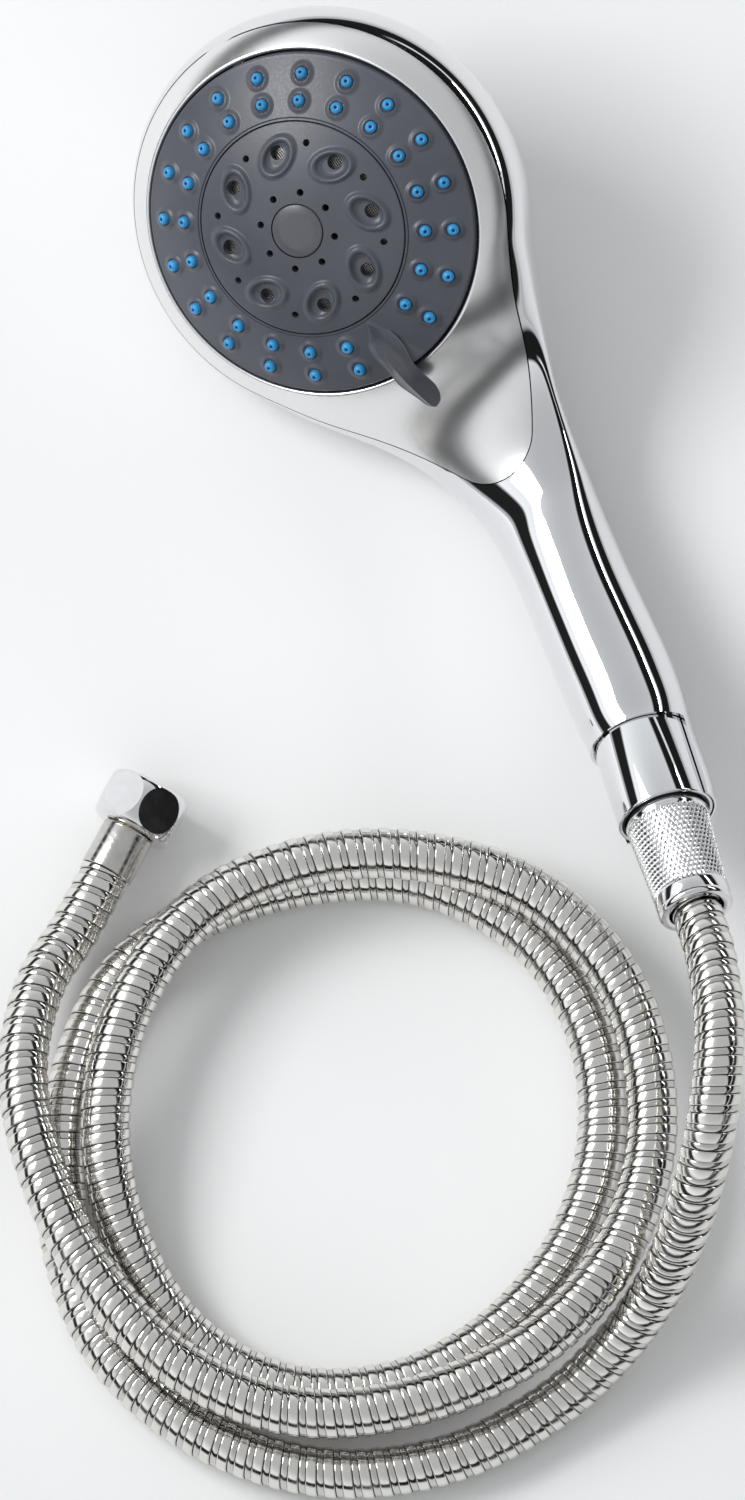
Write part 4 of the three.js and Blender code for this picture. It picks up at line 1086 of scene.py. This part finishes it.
# %% Spray centre, with its holes bored right through
centre_top = np.concatenate([[7.65], np.linspace(7.85, 29.3, 66)])
centre_rim = rolled_rim(CENTRE_RADIUS, float(dome(29.4)), 0.25, 3)
dome_top = float(dome(0))
HUB_DEPTH, SCREW_SEAT, CAP_SEAT = 6.5, 3.4, 1.6  # below the middle of the dome
POST_BORE, SCREW_HEAD = 2.6, 4.9
centre_below = [under(CENTRE_RADIUS), under(20), under(11),
                (10, dome_top - HUB_DEPTH), (POST_BORE, dome_top - HUB_DEPTH),
                (POST_BORE, dome_top - SCREW_SEAT), (SCREW_HEAD, dome_top - SCREW_SEAT),
                (SCREW_HEAD, dome_top - CAP_SEAT), (CAP_RADIUS + GAP, dome_top - CAP_SEAT)]
centre_mesh = polar_plate(centre_top, centre_rim, centre_below, 540, eye_ridges)


def bore(mesh, radius, ring, angle, sides):
    tool = rod_mesh(radius, -9, 5, sides)
    lean = math.asin(ring / DOME)
    tool.transform(Matrix.Rotation(angle, 4, "Z") @ Matrix.Translation((0, 0, -DOME_DROP))
                   @ Matrix.Rotation(lean, 4, "Y") @ Matrix.Translation((0, 0, DOME)))
    return boolean(mesh, tool, "DIFFERENCE")


EYE_HOLE, SMALL_HOLE = 2.05, 1.0
SMALL_HOLE_RINGS, SMALL_HOLE_TURN = (24.3, 10.8), math.radians(22)
for angle in EYE_ANGLES:
    centre_mesh = bore(centre_mesh, EYE_HOLE, EYE_RING, angle, 40)
    for ring in SMALL_HOLE_RINGS:
        centre_mesh = bore(centre_mesh, SMALL_HOLE, ring, angle - SMALL_HOLE_TURN, 24)
finish_piece("spray_centre_moulded", centre_mesh, HANDSET, "selector", "face_grey", ["spray_centre"],
             sharp=math.radians(45))
print("spray centre faces:", len(centre_mesh.polygons))

# %% [markdown]
# The nozzles are one silicone mat: a sheet behind the ring with thirty-eight little teats that poke through
# it and can be rubbed clean. One teat is turned, then a tree of nodes sets a copy on every place.

# %% Nozzle tree
def scatter_tree():
    tree, given = new_tree("set_on_places", ("Copy", "Object"), ("Size", "Float", 1.0))
    copy = node(tree, "GeometryNodeObjectInfo", {"Object": given.outputs["Copy"]})
    out = node(tree, "GeometryNodeInputNamedAttribute", {"Name": "out"}, data_type="FLOAT_VECTOR")
    turn = node(tree, "FunctionNodeAlignRotationToVector", {"Vector": out.outputs[0]}, axis="Z")
    put = node(tree, "GeometryNodeInstanceOnPoints", {
        "Points": given.outputs["Geometry"], "Instance": copy.outputs["Geometry"],
        "Rotation": turn.outputs[0], "Scale": given.outputs["Size"]})
    end_tree(tree, given, put.outputs[0])
    return tree


# %% Nozzle mat
places, outs = [], []
for ring in NOZZLE_RINGS:
    for angle in NOZZLE_ANGLES:
        lean = ring / DOME
        away = Vector((lean * math.cos(angle), lean * math.sin(angle), math.sqrt(1 - lean**2)))
        places.append(away * DOME - Vector((0, 0, DOME_DROP)))
        outs.append(away)
place_mesh = mesh_of("nozzle_places", places, [])
attribute = place_mesh.attributes.new("out", "FLOAT_VECTOR", "POINT")
attribute.data.foreach_set("vector", np.array(outs).ravel())
teat = [(0, -3.4), (1.6, -3.4), (1.6, 0.55), (1.5, 1.1), (1.2, 1.5), (0.8, 1.68), (0.5, 1.6), (0.45, 0.6),
        (0, 0.5)]
teat_source = scratch_object("one_nozzle", turned(teat, 28, closed=False))
teats = nodes_result(scratch_object("nozzle_places", place_mesh), scatter_tree(), "nozzles",
                     Copy=teat_source, Size=1.0, Finish=finishes["nozzle_blue"])
bpy.data.objects.remove(teat_source)
MAT_WALL = 1.4
sheet_top = [under(r, PLATE_WALL + GAP) for r in np.linspace(31, 44.6, 6)]
sheet = turned(sheet_top + [(r, z - MAT_WALL) for r, z in reversed(sheet_top)], 120)
finish_piece("nozzle_mat_moulded", joined_mesh("mat", [sheet, teats]), HANDSET, "selector", "nozzle_blue",
             ["nozzle_mat"])

# %% Centre cap
cap_floor = dome_top - CAP_SEAT + GAP
cap = [(0, cap_floor), (CAP_RADIUS, cap_floor), under(CAP_RADIUS, -0.05), (5, dome_top + 0.22),
       (0, dome_top + 0.36)]
finish_piece("centre_cap_moulded", turned(rounded(cap, 0.45), 96, closed=False), HANDSET, "selector",
             "cap_grey", ["centre_cap"])

# %% [markdown]
# ## The ends of the hose
#
# The conical nut is plated brass, turned and then knurled between two plain bands so that a wet hand can
# grip it. The knurl is two sets of fine grooves that cross, cut into a turned height field.

# %% Conical nut with its knurl
KNURL_TEETH = 48
KNURL_DEPTH = 0.45
KNURL_FROM, KNURL_TO = 2.6, 25.4
BARE_BELOW = 10.2  # the bore has no knurl
NUT_TOP_RADIUS, NUT_TAPER = 11.6, 1.25 / 23.4


def turned_field(outline, turns, depth):
    """A closed turned piece whose radius is lowered by depth(row's z, angles)."""
    angles = 2 * np.pi * np.arange(turns) / turns
    rows = []
    for r, z in outline:
        radius = r - depth(r, z, angles)
        rows.append(np.stack([radius * np.cos(angles), radius * np.sin(angles), np.full(turns, z)], axis=1))
    return outward(mesh_of("field", np.vstack(rows), ring_faces(len(rows), turns)))


def knurl(r, z, angles):
    if not KNURL_FROM <= z <= KNURL_TO or r < BARE_BELOW:
        return np.zeros_like(angles)
    run = angles * KNURL_TEETH
    slant = (z - KNURL_FROM) * KNURL_TEETH / 11.0 * 0.5
    groove = np.maximum(np.abs(np.cos((run + slant) / 2)) ** 5, np.abs(np.cos((run - slant) / 2)) ** 5)
    ends = min(1, (z - KNURL_FROM) / 0.6, (KNURL_TO - z) / 0.6)
    return KNURL_DEPTH * groove * ends


nut_side = [(11.62, 1.9), (11.60, 2.3)]
nut_side += [(NUT_TOP_RADIUS - NUT_TAPER * (z - 2.3), z) for z in np.linspace(KNURL_FROM, KNURL_TO, 126)]
nut_top = [(THREAD_ROOM, -1.2), (11.0, -1.2), (11.25, -1.1), (11.35, -0.9), (11.4, 0.6), (11.62, 0.8),
           (11.7, 1.0), (11.7, 1.6)]
nut_foot = [(10.5, 25.7), (10.52, 25.9), (10.35, 28.6), (10.2, 29.0), (10.32, 29.3), (10.42, 29.7),
            (10.35, 30.3), (10.1, 30.75), (9.7, NUT_END), (8.0, NUT_END), (7.75, 30.8), (7.7, 30.4),
            (7.7, 17.3), (THREAD_ROOM, 17.3)]
conical_nut = finish_piece("conical_nut_knurled", turned_field(nut_top + nut_side + nut_foot, 480, knurl),
                           CONNECTION, "conical_nut", "nut_chrome", ["conical_nut"],
                           sharp=math.radians(40))
print("conical nut faces:", len(conical_nut.data.polygons))

# %% [markdown]
# At the other end a plain steel ferrule is pressed over the last turns of the strip, and a loose hex nut
# sits behind the insert's flange. The nut is a barrel with six flats milled on it, so each flat is an oval.

# %% Far ferrule and hex nut
ferrule = turned([(6.2, 0.5), (6.5, 0.3), (7.1, 0.3), (7.3, 0.5), (7.35, 0.9), (7.35, 12.7), (7.28, 13.05),
                  (7.05, 13.3), (6.2, 13.3)], 96)
far_ferrule = finish_piece("far_ferrule_pressed", ferrule, FAR_END, "handset", "steel", ["far_ferrule"])

HEX_FROM, HEX_TO, HEX_FLATS = 13.6, 27.6, 22.0
THREAD_PITCH, THREAD_RADIUS = 1.81, 9.6
barrel = [(0, HEX_FROM), (9.2, HEX_FROM), (9.9, HEX_FROM + 0.15)]
for t in np.linspace(0, 1, 33):
    barrel.append((10.7 + 1.8 * math.sin(math.pi * t) ** 0.6, HEX_FROM + 0.5 + (HEX_TO - HEX_FROM - 1) * t))
barrel += [(10.2, HEX_TO - 0.15), (9.9, HEX_TO), (0, HEX_TO)]
nut = turned(barrel, 192, closed=False)
corner = HEX_FLATS / 2 / math.cos(math.pi / 6)
corners = [math.pi / 3 * i + math.pi / 2 for i in range(6)]
hexagon = [(corner * math.cos(angle), corner * math.sin(angle)) for angle in corners]
nut = boolean(nut, prism(hexagon, HEX_FROM - 1, HEX_TO + 1), "INTERSECT")
thread = [(0, HEX_FROM - 1), (6.2, HEX_FROM - 1), (6.2, HEX_FROM + 2.8), (THREAD_RADIUS, HEX_FROM + 2.8)]
z = HEX_FROM + 3.2
while z < HEX_TO - 1.6:
    thread += [(THREAD_RADIUS, z), (9.98, z + 0.45), (9.98, z + 0.75), (9.55, z + 1.2)]
    z += THREAD_PITCH
thread += [(THREAD_RADIUS, HEX_TO - 1.0), (10.0, HEX_TO - 0.4), (10.0, HEX_TO + 1), (0, HEX_TO + 1)]
nut = boolean(nut, turned(thread, 96, closed=False), "DIFFERENCE")
hex_nut = finish_piece("hex_nut_milled", nut, FAR_END, "hex_nut", "nut_chrome", ["hex_nut"],
                       sharp=math.radians(14))
print("hex nut faces:", len(nut.polygons))

# %% [markdown]
# Everything inside keeps the shape that it was packed with: the spray engine, its screws and seals, the
# waterway and the detent. Each of them only takes its finish here.

# %% Finishes for the pieces inside
for name, piece in nodes.items():
    for entry in piece.material_slots:
        kind = entry.material.name.split(".")[0] if entry.material else "steel"
        entry.material = finishes.get("steel_mesh" if name == "mesh_screen" else kind, finishes["steel"])
print("finishes given to", len(nodes), "packed pieces")
